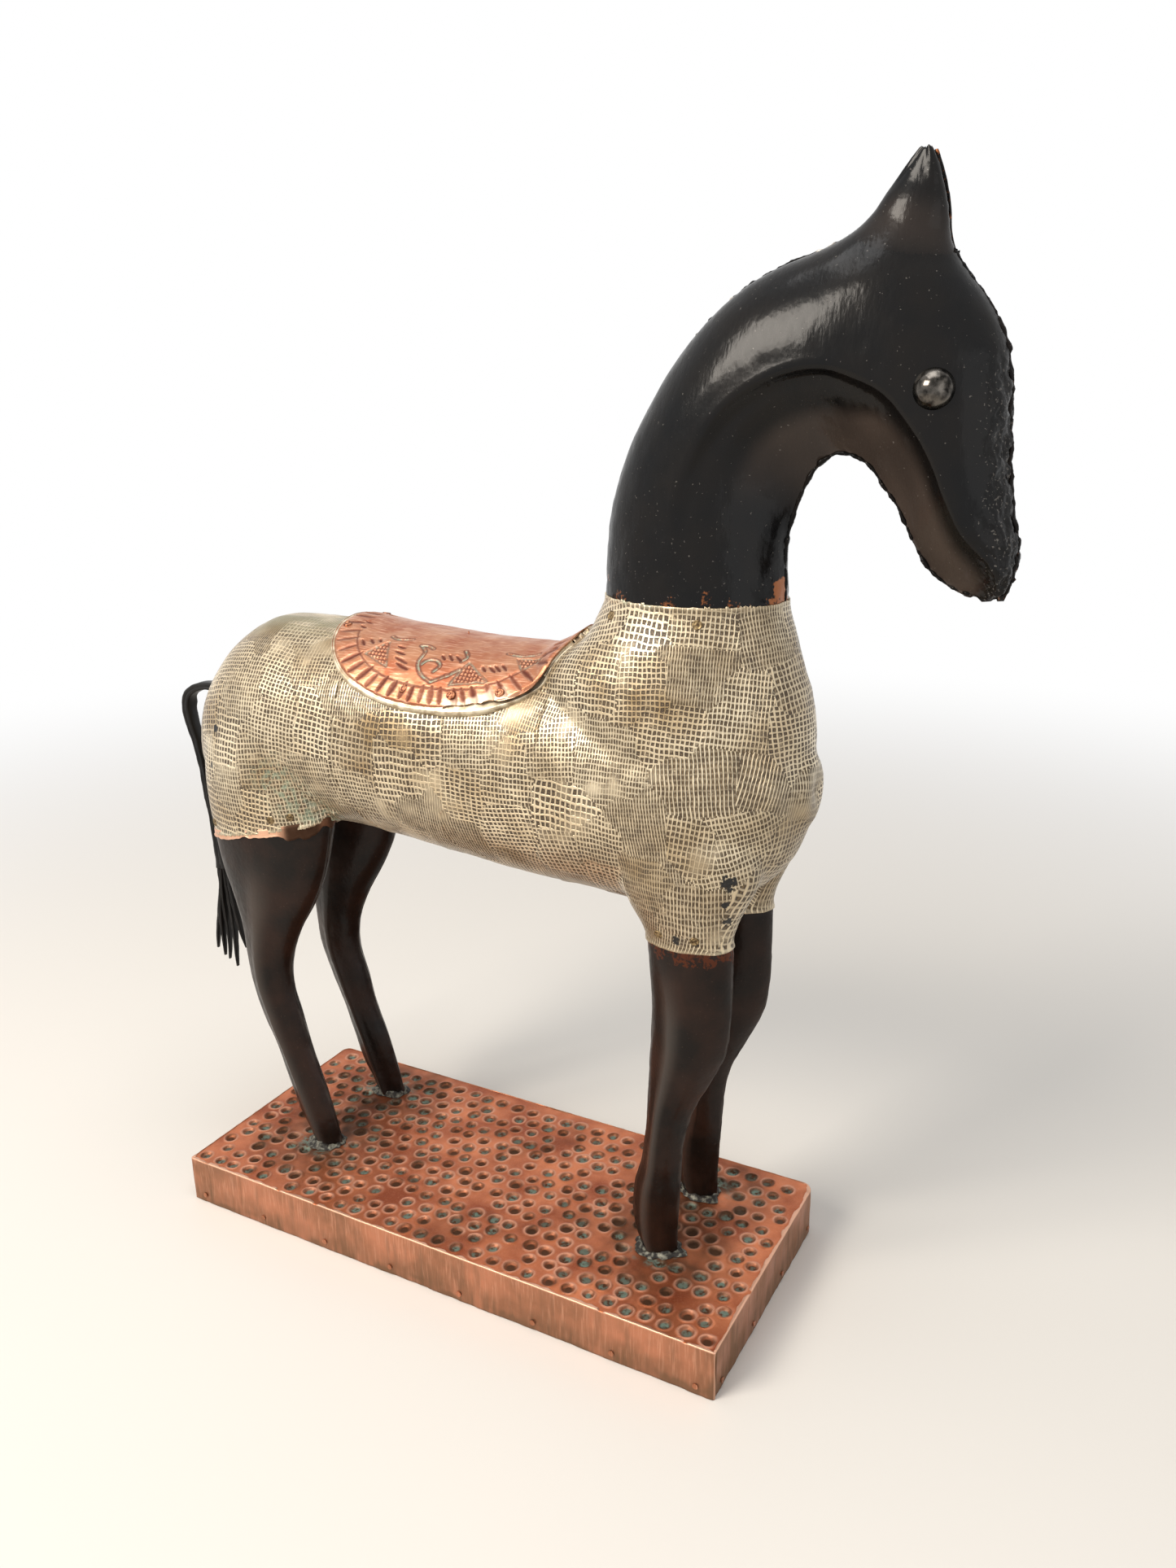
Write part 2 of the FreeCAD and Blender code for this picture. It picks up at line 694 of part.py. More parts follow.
def eye(side):
    middle = head_point(*eye_shares)
    point, out = seat_on(head_outer, middle.x, middle.z, side)
    dome = Part.makeSphere(size("eye_radius"), point - out * size("eye_sink")).cut(head_outer)
    low = point - out * size("eye_shank_length")
    shank = Part.makeCylinder(size("eye_shank_radius"), size("eye_shank_length") + overrun, low, out)
    return one_solid(one_solid(dome).fuse(shank)), shank


for side, name in ((-1, "right"), (1, "left")):
    stud, shank = eye(side)
    add_piece("eye_" + name, stud)
    add_piece("ear_" + name, ear(side))
    shell = head_outer.common(beside_seam(side)).cut(head_inner).cut(shank)
    add_piece("head_shell_" + name, one_solid(shell))

neck_stub = head_inner.common(between_heights(collar_z, collar_z + size("neck_peg_rise")))
neck_dowel = Part.makeCylinder(
    size("neck_peg_radius"),
    size("neck_peg_depth"),
    Vector(collar_x, 0, collar_z - size("neck_peg_depth")),
)
neck_peg = one_solid(neck_stub.cut(head_seam).fuse(neck_dowel))
add_piece("neck_peg", neck_peg)

# Legs
core_sockets = [neck_peg]
foot_places = []
for pair, leg in legs.items():
    for side, name in ((-1, "right"), (1, "left")):
        label = pair + "_" + name
        y = side * leg["out"]
        outer_cuts = leg_cuts(leg, side, 0.0)
        hollow_cuts = leg_cuts(leg, side, size("leg_sheet"))
        hollow_cuts.insert(0, moved(hollow_cuts[0], Vector(0, 0, -overrun)))
        hollow_cuts.append(moved(hollow_cuts[-1], Vector(0, 0, overrun)))
        hollow = full_loft(hollow_cuts)
        leg_solid = full_loft(outer_cuts)
        for half, half_name in ((side, "outer"), (-side, "inner")):
            plate = half_loft(outer_cuts, half).cut(hollow).cut(outer_body)
            add_piece("leg_shell_" + label + "_" + half_name, one_solid(plate))

        plug_top = top_of_base + size("plug_height")
        foot = Vector(leg["x"] + leg["foot_share"] * leg["half_depth"], y, 0)
        foot_places.append(foot)
        screw_hole = Part.makeCylinder(size("screw_radius"), plug_top, foot)
        grip_top = top_of_base + size("screw_grip")
        hole = screw_hole.common(between_heights(0, grip_top))
        plug = hollow.common(between_heights(top_of_base, plug_top)).cut(hole)
        add_piece("foot_plug_" + label, one_solid(plug))

        cone = Part.makeCone(
            size("weld_radius"),
            size("weld_top_radius"),
            size("weld_height"),
            foot + Vector(0, 0, top_of_base),
        )
        add_piece("foot_weld_" + label, one_solid(cone.cut(leg_solid)))

        rise = leg["half_depth"] * math.sin(math.radians(leg["tilt"]))
        peg_bottom = leg["cuff_z"] - rise - size("peg_depth")
        peg_room = between_heights(peg_bottom, leg["cuff_z"] + rise + overrun)
        inner_peg = hollow.common(peg_room).cut(outer_body)
        dowel_low = Vector(leg["x"], y, peg_bottom + overrun)
        dowel_length = leg["cuff_z"] + size("peg_rise") - dowel_low.z
        dowel = Part.makeCylinder(size("peg_radius"), dowel_length, dowel_low)
        peg = one_solid(inner_peg.fuse(dowel))
        core_sockets.append(peg)
        add_piece("leg_peg_" + label, peg)

# Tail
tail_root_z = axis_z + size("tail_root_rise")
rump_x = trunk_x(0.0)


def tail_point(behind, down):
    return Vector(rump_x - behind * size("tail_reach"), 0, tail_root_z - down * size("tail_drop"))


def tail_strap():
    path = [tail_point(behind, down) for behind, down, thickness in tail_shares]
    left = []
    right = []
    for index, point in enumerate(path):
        before = path[max(index - 1, 0)]
        after = path[min(index + 1, len(path) - 1)]
        along = (after - before).normalize()
        across = Vector(-along.z, 0, along.x)
        if index == len(path) - 1:
            across = Vector(1, 0, 0)
        half = tail_shares[index][2] * size("tail_strap_thickness") / 2
        left.append(point + across * half)
        right.append(point - across * half)
    upper = Part.BSplineCurve()
    upper.interpolate(left)
    lower = Part.BSplineCurve()
    lower.interpolate(right)
    lower.reverse()
    end = Part.LineSegment(left[-1], right[-1]).toShape()
    start = Part.LineSegment(right[0], left[0]).toShape()
    face = Part.Face(Part.Wire([upper.toShape(), end, lower.toShape(), start]))
    face.translate(Vector(0, -size("tail_strap_width") / 2, 0))
    return face.extrude(Vector(0, size("tail_strap_width"), 0))


def strand(top_share, behind, down):
    end_behind, end_down, end_share = tail_shares[-1]
    across = end_share * size("tail_strap_thickness")
    top = tail_point(end_behind, end_down) - Vector(top_share * across, 0, 0)
    tip = tail_point(behind, down)
    middle = (top + tip) / 2
    wires = []
    for place, thickness, width in (
        (top, size("strand_top"), size("strand_width")),
        (middle, size("strand_middle"), size("strand_width") * strand_middle_width_share),
        (tip, size("strand_tip"), size("strand_width") * strand_tip_width_share),
    ):
        wires.append(rectangle_wire(place, thickness, width))
    return Part.makeLoft(wires, True, True)


def rectangle_wire(middle, thickness, width):
    half_x = Vector(thickness / 2, 0, 0)
    half_y = Vector(0, width / 2, 0)
    corners = [
        middle - half_x - half_y,
        middle + half_x - half_y,
        middle + half_x + half_y,
        middle - half_x + half_y,
    ]
    return Part.makePolygon(corners + corners[:1])


tail_stem = tail_strap()
core_sockets.append(tail_stem)
add_piece("tail_stem", tail_stem)
add_piece("tail_strands", Part.makeCompound([strand(*row) for row in strand_shares]))

# Trunk core and its cladding
holes = Part.makeCompound([nail_shanks, saddle_shanks])
core = inner_body
for socket in core_sockets:
    core = core.cut(socket)
core = core.cut(holes)
add_piece("body_core", one_solid(core))

skin = outer_body.cut(inner_body).cut(tail_stem).cut(neck_peg).cut(holes)
rear_end = rump_x - overrun
front_end = trunk_x(1.0) + overrun
hip_x = trunk_x(hip_seam_share)
shoulder_x = trunk_x(shoulder_seam_share)
far_y = size("barrel_width")
for name, low_x, high_x in (
    ("rear", rear_end, hip_x),
    ("middle", hip_x, shoulder_x),
    ("front", shoulder_x, front_end),
):
    for side_name, low_y, high_y in (("right", -far_y, 0.0), ("left", 0.0, far_y)):
        room = block(Vector(low_x, low_y, 0), Vector(high_x, high_y, collar_z + overrun))
        add_piece("skin_" + name + "_" + side_name, one_solid(skin.common(room)))


# Base: board, copper top, copper band and their fasteners
base_place = Placement(Vector(0, 0, 0), Rotation())
screw_solids = []
for foot in foot_places:
    low = foot + Vector(0, size("horse_offset"), size("screw_sink"))
    head = Part.makeCone(
        size("screw_head_radius"), size("screw_radius"), size("screw_head_height"), low
    )
    shank_length = top_of_base + size("screw_grip") - size("screw_sink")
    screw_solids.append(head.fuse(Part.makeCylinder(size("screw_radius"), shank_length, low)))
base_screws = add_piece("base_screws", Part.makeCompound(screw_solids), base_place)


def tack_run(half_span):
    usable = 2 * (half_span - size("tack_margin"))
    gaps = max(int(math.ceil(usable / size("tack_pitch"))), 1)
    return [-usable / 2 + usable * step / gaps for step in range(gaps + 1)]


def tack(point, out):
    head = Part.makeCylinder(size("tack_head_radius"), size("tack_head_height"), point, out)
    shank = Part.makeCylinder(size("tack_shank_radius"), size("tack_length"), point, out * -1)
    return head.fuse(shank)


tack_solids = []
for side in (-1, 1):
    for x in tack_run(size("base_length") / 2):
        point = Vector(x, side * size("base_width") / 2, size("tack_height"))
        tack_solids.append(tack(point, Vector(0, side, 0)))
    for y in tack_run(size("base_width") / 2):
        point = Vector(side * size("base_length") / 2, y, size("tack_height"))
        tack_solids.append(tack(point, Vector(side, 0, 0)))
band_tacks = add_piece("base_band_tacks", Part.makeCompound(tack_solids), base_place)


def origin_plane(body, role):
    for feature in body.Origin.OriginFeatures:
        if feature.Role == role:
            return feature
    return None


def centred_rectangle(body, name, length, width):
    sketch = body.newObject("Sketcher::SketchObject", name)
    sketch.AttachmentSupport = [(origin_plane(body, "XY_Plane"), "")]
    sketch.MapMode = "FlatFace"
    corners = [Vector(-1, -1, 0), Vector(1, -1, 0), Vector(1, 1, 0), Vector(-1, 1, 0)]
    for index in range(4):
        sketch.addGeometry(Part.LineSegment(corners[index], corners[(index + 1) % 4]), False)
    for index in range(4):
        sketch.addConstraint(Sketcher.Constraint("Coincident", index, 2, (index + 1) % 4, 1))
    for index in (0, 2):
        sketch.addConstraint(Sketcher.Constraint("Horizontal", index))
    for index in (1, 3):
        sketch.addConstraint(Sketcher.Constraint("Vertical", index))
    sketch.addConstraint(Sketcher.Constraint("Symmetric", 0, 1, 1, 2, -1, 1))
    wide = sketch.addConstraint(Sketcher.Constraint("DistanceX", 0, 1, 0, 2, size("base_length")))
    deep = sketch.addConstraint(Sketcher.Constraint("DistanceY", 1, 1, 1, 2, size("base_width")))
    sketch.setExpression("Constraints[%d]" % wide, length)
    sketch.setExpression("Constraints[%d]" % deep, width)
    return sketch


def rounded_plate(name, length, width, thickness, corner, lift):
    # A flat plate with rounded upright corners, lifted off the ground.
    body = document.addObject("PartDesign::Body", name)
    sketch = centred_rectangle(body, name + "_outline", length, width)
    sketch.setExpression(".AttachmentOffset.Base.z", lift)
    pad = body.newObject("PartDesign::Pad", name + "_pad")
    pad.Profile = sketch
    pad.setExpression("Length", thickness)
    document.recompute()
    upright = []
    for index, edge in enumerate(pad.Shape.Edges, start=1):
        ends = [vertex.Point for vertex in edge.Vertexes]
        if abs(ends[0].z - ends[1].z) > edge.Length / 2:
            upright.append("Edge%d" % index)
    rounding = body.newObject("PartDesign::Fillet", name + "_corners")
    rounding.Base = (pad, upright)
    rounding.setExpression("Radius", corner)
    body.Tip = rounding
    document.recompute()
    return body


inner_length = "Sizes.base_length - 2 * Sizes.base_sheet"
inner_width = "Sizes.base_width - 2 * Sizes.base_sheet"
board_blank = rounded_plate(
    "board_blank",
    inner_length,
    inner_width,
    "Sizes.base_height - Sizes.base_sheet",
    "Sizes.base_corner",
    "0",
)
band_blank = rounded_plate(
    "band_blank",
    "Sizes.base_length",
    "Sizes.base_width",
    "Sizes.base_height - Sizes.base_sheet - Sizes.band_lift",
    "Sizes.base_corner + Sizes.base_sheet",
    "Sizes.band_lift",
)
top_blank = rounded_plate(
    "top_blank",
    "Sizes.base_length",
    "Sizes.base_width",
    "Sizes.base_sheet",
    "Sizes.base_corner + Sizes.base_sheet",
    "Sizes.base_height - Sizes.base_sheet",
)
lap_slit = document.addObject("Part::Box", "lap_slit")
lap_slit.setExpression("Length", "4 * Sizes.base_sheet")
lap_slit.setExpression("Width", "Sizes.lap_gap")
lap_slit.setExpression("Height", "Sizes.base_height - Sizes.base_sheet")
lap_slit.setExpression(".Placement.Base.x", "Sizes.base_length / 2 - 2 * Sizes.base_sheet")
lap_slit.setExpression(".Placement.Base.y", "Sizes.lap_inset - Sizes.base_width / 2")
document.recompute()


def cut_piece(label, base, tools):
    joined = tools[0]
    if len(tools) > 1:
        joined = document.addObject("Part::MultiFuse", label + "_tools")
        joined.Shapes = tools
    piece = document.addObject("Part::Cut", label)
    piece.Label = label
    piece.Base = base
    piece.Tool = joined
    return piece


cut_pieces = [
    cut_piece("base_board", board_blank, [base_screws, band_tacks]),
    cut_piece("base_side_band", band_blank, [board_blank, lap_slit, band_tacks]),
    cut_piece("base_top_sheet", top_blank, [base_screws]),
]
document.recompute()

for found in document.Objects:
    if "Invalid" in found.State or "Error" in found.State:
        raise RuntimeError("%s did not compute" % found.Label)
pieces = [found for found in document.Objects if found.TypeId == "Part::Feature"] + cut_pieces
for piece in pieces:
    if piece.Shape.isNull() or not piece.Shape.isValid() or not piece.Shape.Solids:
        raise RuntimeError("%s has no valid solid" % piece.Label)

os.makedirs("parts", exist_ok=True)
for piece in pieces:
    piece.Shape.exportStep("parts/%s.step" % piece.Label)
    solids = len(piece.Shape.Solids)
    print("%-30s %2d solid(s) %10.0f mm3" % (piece.Label, solids, piece.Shape.Volume))
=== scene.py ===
import bmesh
import bpy
import math
import numpy as np
from mathutils import Matrix, Vector
from mathutils.bvhtree import BVHTree
from mathutils.kdtree import KDTree


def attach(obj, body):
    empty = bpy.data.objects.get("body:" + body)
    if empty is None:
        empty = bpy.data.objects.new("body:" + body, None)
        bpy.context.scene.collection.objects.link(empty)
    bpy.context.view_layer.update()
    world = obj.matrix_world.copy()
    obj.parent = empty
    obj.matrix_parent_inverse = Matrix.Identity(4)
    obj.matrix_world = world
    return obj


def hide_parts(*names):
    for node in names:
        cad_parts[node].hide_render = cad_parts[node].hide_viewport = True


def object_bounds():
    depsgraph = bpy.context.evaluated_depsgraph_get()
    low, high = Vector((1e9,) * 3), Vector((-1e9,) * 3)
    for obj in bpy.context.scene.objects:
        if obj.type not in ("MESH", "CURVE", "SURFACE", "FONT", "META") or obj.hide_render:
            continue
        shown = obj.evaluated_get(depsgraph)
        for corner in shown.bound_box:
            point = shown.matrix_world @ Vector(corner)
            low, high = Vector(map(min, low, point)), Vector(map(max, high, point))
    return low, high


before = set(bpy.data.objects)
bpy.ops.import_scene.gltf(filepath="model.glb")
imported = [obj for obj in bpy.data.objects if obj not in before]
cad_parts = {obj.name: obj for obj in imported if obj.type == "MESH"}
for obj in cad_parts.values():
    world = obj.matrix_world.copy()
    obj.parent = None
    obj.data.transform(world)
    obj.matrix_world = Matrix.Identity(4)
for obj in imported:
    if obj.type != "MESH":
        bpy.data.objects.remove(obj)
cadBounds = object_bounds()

# A clad metal horse on a copper-covered board. Lengths below are in mm unless a name says otherwise.
mm = 0.001
middleY = 14.0            # the horse's middle plane, beside the base's
boardTop = 34.0           # top of the base
collarZ = 449.0           # where the neck leaves the cladding
frontLimit = cadBounds[1][0] / mm - 0.15
seedNumber = 21


# ---- small tools for meshes
def hexColour(code):
    # sRGB hex to linear
    out = []
    for index in (1, 3, 5):
        value = int(code[index:index + 2], 16) / 255
        out.append(value / 12.92 if value <= 0.04045 else ((value + 0.055) / 1.055) ** 2.4)
    return (*out, 1.0)


def noiseAt(points, grainSize, seed=0):
    # smooth value noise from -1 to 1; grainSize is a number or one per axis, in the points' unit
    cell = np.asarray(points, float) / np.asarray(grainSize, float)
    low = np.floor(cell).astype(np.int64)
    part = cell - low
    part = part * part * (3 - 2 * part)
    total = np.zeros(len(cell))
    for corner in range(8):
        step = np.array([(corner >> axis) & 1 for axis in range(3)])
        at = low + step
        mixed = (at[:, 0] * 73856093) ^ (at[:, 1] * 19349663) ^ (at[:, 2] * 83492791) ^ (seed * 668265263)
        mixed = (mixed ^ (mixed >> 13)) * 1274126177
        value = ((mixed ^ (mixed >> 16)) & 65535) / 32767.5 - 1
        total += value * np.prod(np.where(step == 1, part, 1 - part), axis=1)
    return total


def layeredNoise(points, grainSize, seed=0, layers=3):
    total = np.zeros(len(points))
    for layer in range(layers):
        total += noiseAt(points, np.asarray(grainSize) / 2 ** layer, seed + layer) / 2 ** layer
    return total


def onLine(run, y=0.0, z=0.0):
    # places for the noise, from lengths along a line
    return np.c_[run, 0 * run + y, 0 * run + z]


def smoothStep(low, high, value):
    t = np.clip((value - low) / (high - low), 0, 1)
    return t * t * (3 - 2 * t)


def ridge(distance, width):
    # 1 on a line, falling to nothing some widths away from it
    return np.exp(-(distance / width) ** 2)


def unit(vectors):
    return vectors / np.maximum(np.linalg.norm(vectors, axis=-1, keepdims=True), 1e-9)


def titled(label):
    return label.title().replace("_", "")


def easedRows(rows, steps):
    # rows added on a smooth curve through the given ones
    rows = np.asarray(rows, float)
    out = []
    for index in range(len(rows) - 1):
        a = rows[max(index - 1, 0)]
        b = rows[index]
        c = rows[index + 1]
        d = rows[min(index + 2, len(rows) - 1)]
        for step in range(steps):
            t = step / steps
            out.append((a * (-t + 2 * t * t - t ** 3) + b * (2 - 5 * t * t + 3 * t ** 3)
                        + c * (t + 4 * t * t - 3 * t ** 3) + d * (t ** 3 - t * t)) / 2)
    out.append(rows[-1])
    return np.array(out)


def evenly(path, step):
    # the path walked in equal steps, and the length up to each of its points
    run = np.r_[0, np.cumsum(np.linalg.norm(np.diff(path, axis=0), axis=1))]
    at = np.linspace(0, run[-1], max(int(run[-1] / step), 2))
    return np.stack([np.interp(at, run, column) for column in path.T], axis=1), at


def gridNormals(grid, loop=False):
    # one unit normal for each point of a rows x columns grid
    if loop:
        wide = np.concatenate([grid[:, -1:], grid, grid[:, :1]], axis=1)
        across = np.gradient(wide, axis=1)[:, 1:-1]
    else:
        across = np.gradient(grid, axis=1)
    return unit(np.cross(np.gradient(grid, axis=0), across))


def gridFaces(rows, columns, loop=False, start=0, flip=False):
    last = columns if loop else columns - 1
    r, c = np.meshgrid(np.arange(rows - 1), np.arange(last), indexing="ij")
    here = r * columns + c
    right = r * columns + (c + 1) % columns
    faces = np.stack([here, right, right + columns, here + columns], axis=-1).reshape(-1, 4) + start
    return faces[:, ::-1] if flip else faces


def cappedFaces(rows, columns, start=0):
    # faces of a closed tube from rings of points, its two ends capped
    faces = gridFaces(rows, columns, True, start).tolist()
    faces.append(list(range(start, start + columns))[::-1])
    faces.append(list(range(start + (rows - 1) * columns, start + rows * columns)))
    return faces


def addMesh(name, points, faces, marks=None, smooth=True, outward=True):
    # marks holds three values a point for the materials: red, green and blue
    mesh = bpy.data.meshes.new(name)
    points = np.asarray(points, float).reshape(-1, 3) * mm
    sizes = [len(face) for face in faces]
    loops = np.concatenate(list(faces))
    mesh.vertices.add(len(points))
    mesh.vertices.foreach_set("co", points.astype(np.float32).reshape(-1))
    mesh.loops.add(len(loops))
    mesh.loops.foreach_set("vertex_index", loops.astype(np.int32))
    mesh.polygons.add(len(sizes))
    mesh.polygons.foreach_set("loop_start", np.concatenate([[0], np.cumsum(sizes)[:-1]]).astype(np.int32))
    mesh.update(calc_edges=True)
    mesh.validate()
    if outward:
        work = bmesh.new()
        work.from_mesh(mesh)
        bmesh.ops.recalc_face_normals(work, faces=work.faces)
        work.to_mesh(mesh)
        work.free()
    mesh.polygons.foreach_set("use_smooth", [smooth] * len(mesh.polygons))
    if marks is not None:
        colours = np.ones((len(mesh.vertices), 4), np.float32)
        colours[:, :3] = marks
        mesh.attributes.new("marks", "FLOAT_COLOR", "POINT").data.foreach_set("color", colours.reshape(-1))
    piece = bpy.data.objects.new(name, mesh)
    bpy.context.scene.collection.objects.link(piece)
    return piece


def gridPiece(name, rings, marks=None, loop=True, flip=False):
    rows, columns = rings.shape[:2]
    return addMesh(name, rings, gridFaces(rows, columns, loop, 0, flip), marks)


def tubePiece(name, rings, marks=None, smooth=True):
    return addMesh(name, rings, cappedFaces(*rings.shape[:2]), marks, smooth)


def sheetPiece(name, grid, thickness, marks, loop=False, backed=True):
    # a closed sheet: the grid, a copy of it one thickness under it, and the rim between them
    rows, columns = grid.shape[:2]
    under = grid - gridNormals(grid, loop) * thickness
    count = rows * columns
    faces = [gridFaces(rows, columns, loop)]
    if backed:
        faces.append(gridFaces(rows, columns, loop, count, True))
    rims = [np.arange(columns), (rows - 1) * columns + np.arange(columns)[::-1]]
    if loop:
        rims = [np.append(rim, rim[0]) for rim in rims]
    else:
        rims += [(np.arange(rows) * columns)[::-1], np.arange(rows) * columns + columns - 1]
    for rim in rims:
        faces.append(np.stack([rim[1:], rim[:-1], rim[:-1] + count, rim[1:] + count], axis=1))
    points = np.concatenate([grid.reshape(-1, 3), under.reshape(-1, 3)])
    return addMesh(name, points, np.concatenate(faces), np.concatenate([marks, marks]))


def finishPiece(piece, material, slot, *nodes):
    piece.data.materials.clear()
    piece.data.materials.append(material)
    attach(piece, "root")
    if nodes:
        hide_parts(*nodes)


# ---- materials
def addNode(tree, kind, inputs, **settings):
    # adds one node, sets it, fills or links its inputs by name or in their order, and gives its outputs
    node = tree.nodes.new("ShaderNode" + kind)
    for key, value in settings.items():
        setattr(node, key, value)
    for key, value in inputs.items() if isinstance(inputs, dict) else enumerate(inputs):
        if isinstance(value, bpy.types.NodeSocket):
            tree.links.new(value, node.inputs[key])
        else:
            node.inputs[key].default_value = value
    return node.outputs


def startMaterial(name, marks=(), noises=(), **surface):
    # sets the shader's constants and gives the tree, the place, the mesh's marks split in three, and noises
    material = bpy.data.materials.new(name)
    material.use_nodes = True
    tree = material.node_tree
    shader = tree.nodes["Principled BSDF"]
    for key, value in surface.items():
        shader.inputs[key.replace("_", " ")].default_value = value
    place = addNode(tree, "TexCoord", [])["Object"]
    split = []
    for mark in marks:
        colour = addNode(tree, "Attribute", [], attribute_name=mark)["Color"]
        split.append(addNode(tree, "SeparateColor", [colour]))
    fields = []
    for grain, detail in noises:
        fields.append(addNode(tree, "TexNoise", {"Vector": place, "Scale": 1 / (grain * mm), "Detail": detail}))
    return material, tree, place, split, fields


def plugIn(tree, sockets):
    for name, socket in sockets.items():
        tree.links.new(socket, tree.nodes["Principled BSDF"].inputs[name])


def embossedWhiteMetal():
    # white-metal sheet pressed with wire cloth: pale raised wires, brown patina left in the cells
    look = {"wire": "#E9D8B8", "wireDull": "#A58A60", "cell": "#33251A", "cellPale": "#75603F",
            "greenGold": "#77704A", "verdigris": "#8B9B84", "blackSpot": "#15120F",
            "pitch": 3.1, "wireLow": 0.09, "wireHigh": 0.27, "floorLow": 0.29, "floorHigh": 0.44,
            "wander": 2.4, "depth": 0.7, "dull": 0.62, "polished": 0.34}
    material, tree, place, split, fields = startMaterial(
        "embossedWhiteMetal", ("patch", "marks"), ((9, 2), (2.5, 3), (7, 2), (38, 3), (4, 4)),
        Metallic=0.6, Coat_Weight=0.45, Coat_Roughness=0.3)
    patch, wear = split
    wander, uneven, broad, tint, bloom = fields
    weave = addNode(tree, "Attribute", [], attribute_name="weave")["Vector"]
    # the cloth's wires, a little crooked, along two directions of each patch
    centred = addNode(tree, "VectorMath", [wander["Color"], (0.5, 0.5, 0.5)], operation="SUBTRACT")[0]
    wandered = addNode(tree, "VectorMath", {0: centred, "Scale": look["wander"]}, operation="SCALE")[0]
    moved = addNode(tree, "VectorMath", [weave, wandered], operation="ADD")[0]
    inCells = addNode(tree, "VectorMath", {0: moved, "Scale": 1 / look["pitch"]}, operation="SCALE")[0]
    axes = addNode(tree, "SeparateXYZ", [inCells])
    swell = addNode(tree, "Math", [broad["Fac"], -0.26, 0.02], operation="MULTIPLY_ADD")[0]
    ragged = addNode(tree, "Math", [uneven["Fac"], 0.22, swell], operation="MULTIPLY_ADD")[0]
    wires = []
    folds = []
    for axis in (0, 1):
        fold = addNode(tree, "Math", [axes[axis], 0.5], operation="PINGPONG")[0]
        fold = addNode(tree, "Math", [fold, ragged], operation="ADD")[0]
        folds.append(fold)
        wires.append(addNode(tree, "MapRange", [fold, look["wireLow"], look["wireHigh"], 1.0, 0.0],
                             interpolation_type="SMOOTHSTEP")[0])
    across = addNode(tree, "Math", [wires[1], patch["Green"]], operation="MULTIPLY")[0]
    wire = addNode(tree, "Math", [wires[0], across], operation="MAXIMUM")[0]
    rub = {"Vector": place, "Scale": 1 / (5 * mm), "Detail": 4, "Roughness": 0.6}
    rub = addNode(tree, "MapRange", [addNode(tree, "TexNoise", rub)["Fac"], 0.57, 0.78, 0.0, 0.8])[0]
    filled = addNode(tree, "Math", [wear["Red"], rub], operation="MAXIMUM")[0]
    filled = addNode(tree, "Math", [wire, filled], operation="MAXIMUM")[0]
    dullness = addNode(tree, "MapRange", [tint["Fac"], 0.36, 0.68])[0]
    dullness = addNode(tree, "Math", [dullness, patch["Red"]], operation="MULTIPLY")[0]
    # far from both wires lies the cell's floor, rubbed paler than its outline
    faded = addNode(tree, "Math", [patch["Green"], -0.4, 0.4], operation="MULTIPLY_ADD")[0]
    second = addNode(tree, "Math", [folds[1], faded], operation="ADD")[0]
    inner = addNode(tree, "Math", [folds[0], second], operation="MINIMUM")[0]
    inner = addNode(tree, "MapRange", [inner, look["floorLow"], look["floorHigh"]])[0]
    cellTone = addNode(tree, "MapRange", [broad["Fac"], 0.3, 0.62, 0.35])[0]
    cellTone = addNode(tree, "Math", [cellTone, inner], operation="MULTIPLY")[0]
    colours = []
    for mask, low, high in ((cellTone, "cell", "cellPale"), (dullness, "wire", "wireDull")):
        pair = {0: mask, 6: hexColour(look[low]), 7: hexColour(look[high])}
        colours.append(addNode(tree, "Mix", pair, data_type="RGBA")[2])
    colour = addNode(tree, "Mix", {0: filled, 6: colours[0], 7: colours[1]}, data_type="RGBA")[2]
    bloom = addNode(tree, "MapRange", [bloom["Fac"], 0.45, 0.62])[0]
    bloom = addNode(tree, "Math", [bloom, wear["Blue"]], operation="MULTIPLY")[0]
    spots = addNode(tree, "Math", [patch["Blue"], uneven["Fac"]], operation="MULTIPLY")[0]
    spots = addNode(tree, "MapRange", [spots, 0.30, 0.36])[0]
    for mask, name in ((wear["Green"], "greenGold"), (bloom, "verdigris"), (spots, "blackSpot")):
        colour = addNode(tree, "Mix", {0: mask, 6: colour, 7: hexColour(look[name])}, data_type="RGBA")[2]
    rough = addNode(tree, "MapRange", {"Value": filled, "To Min": look["dull"], "To Max": look["polished"]})[0]
    grit = addNode(tree, "Math", [uneven["Fac"], 0.35, filled], operation="MULTIPLY_ADD")[0]
    bump = addNode(tree, "Bump", {"Height": grit, "Distance": look["depth"] * mm, "Strength": 0.9})[0]
    plugIn(tree, {"Base Color": colour, "Roughness": rough, "Normal": bump})
    return material


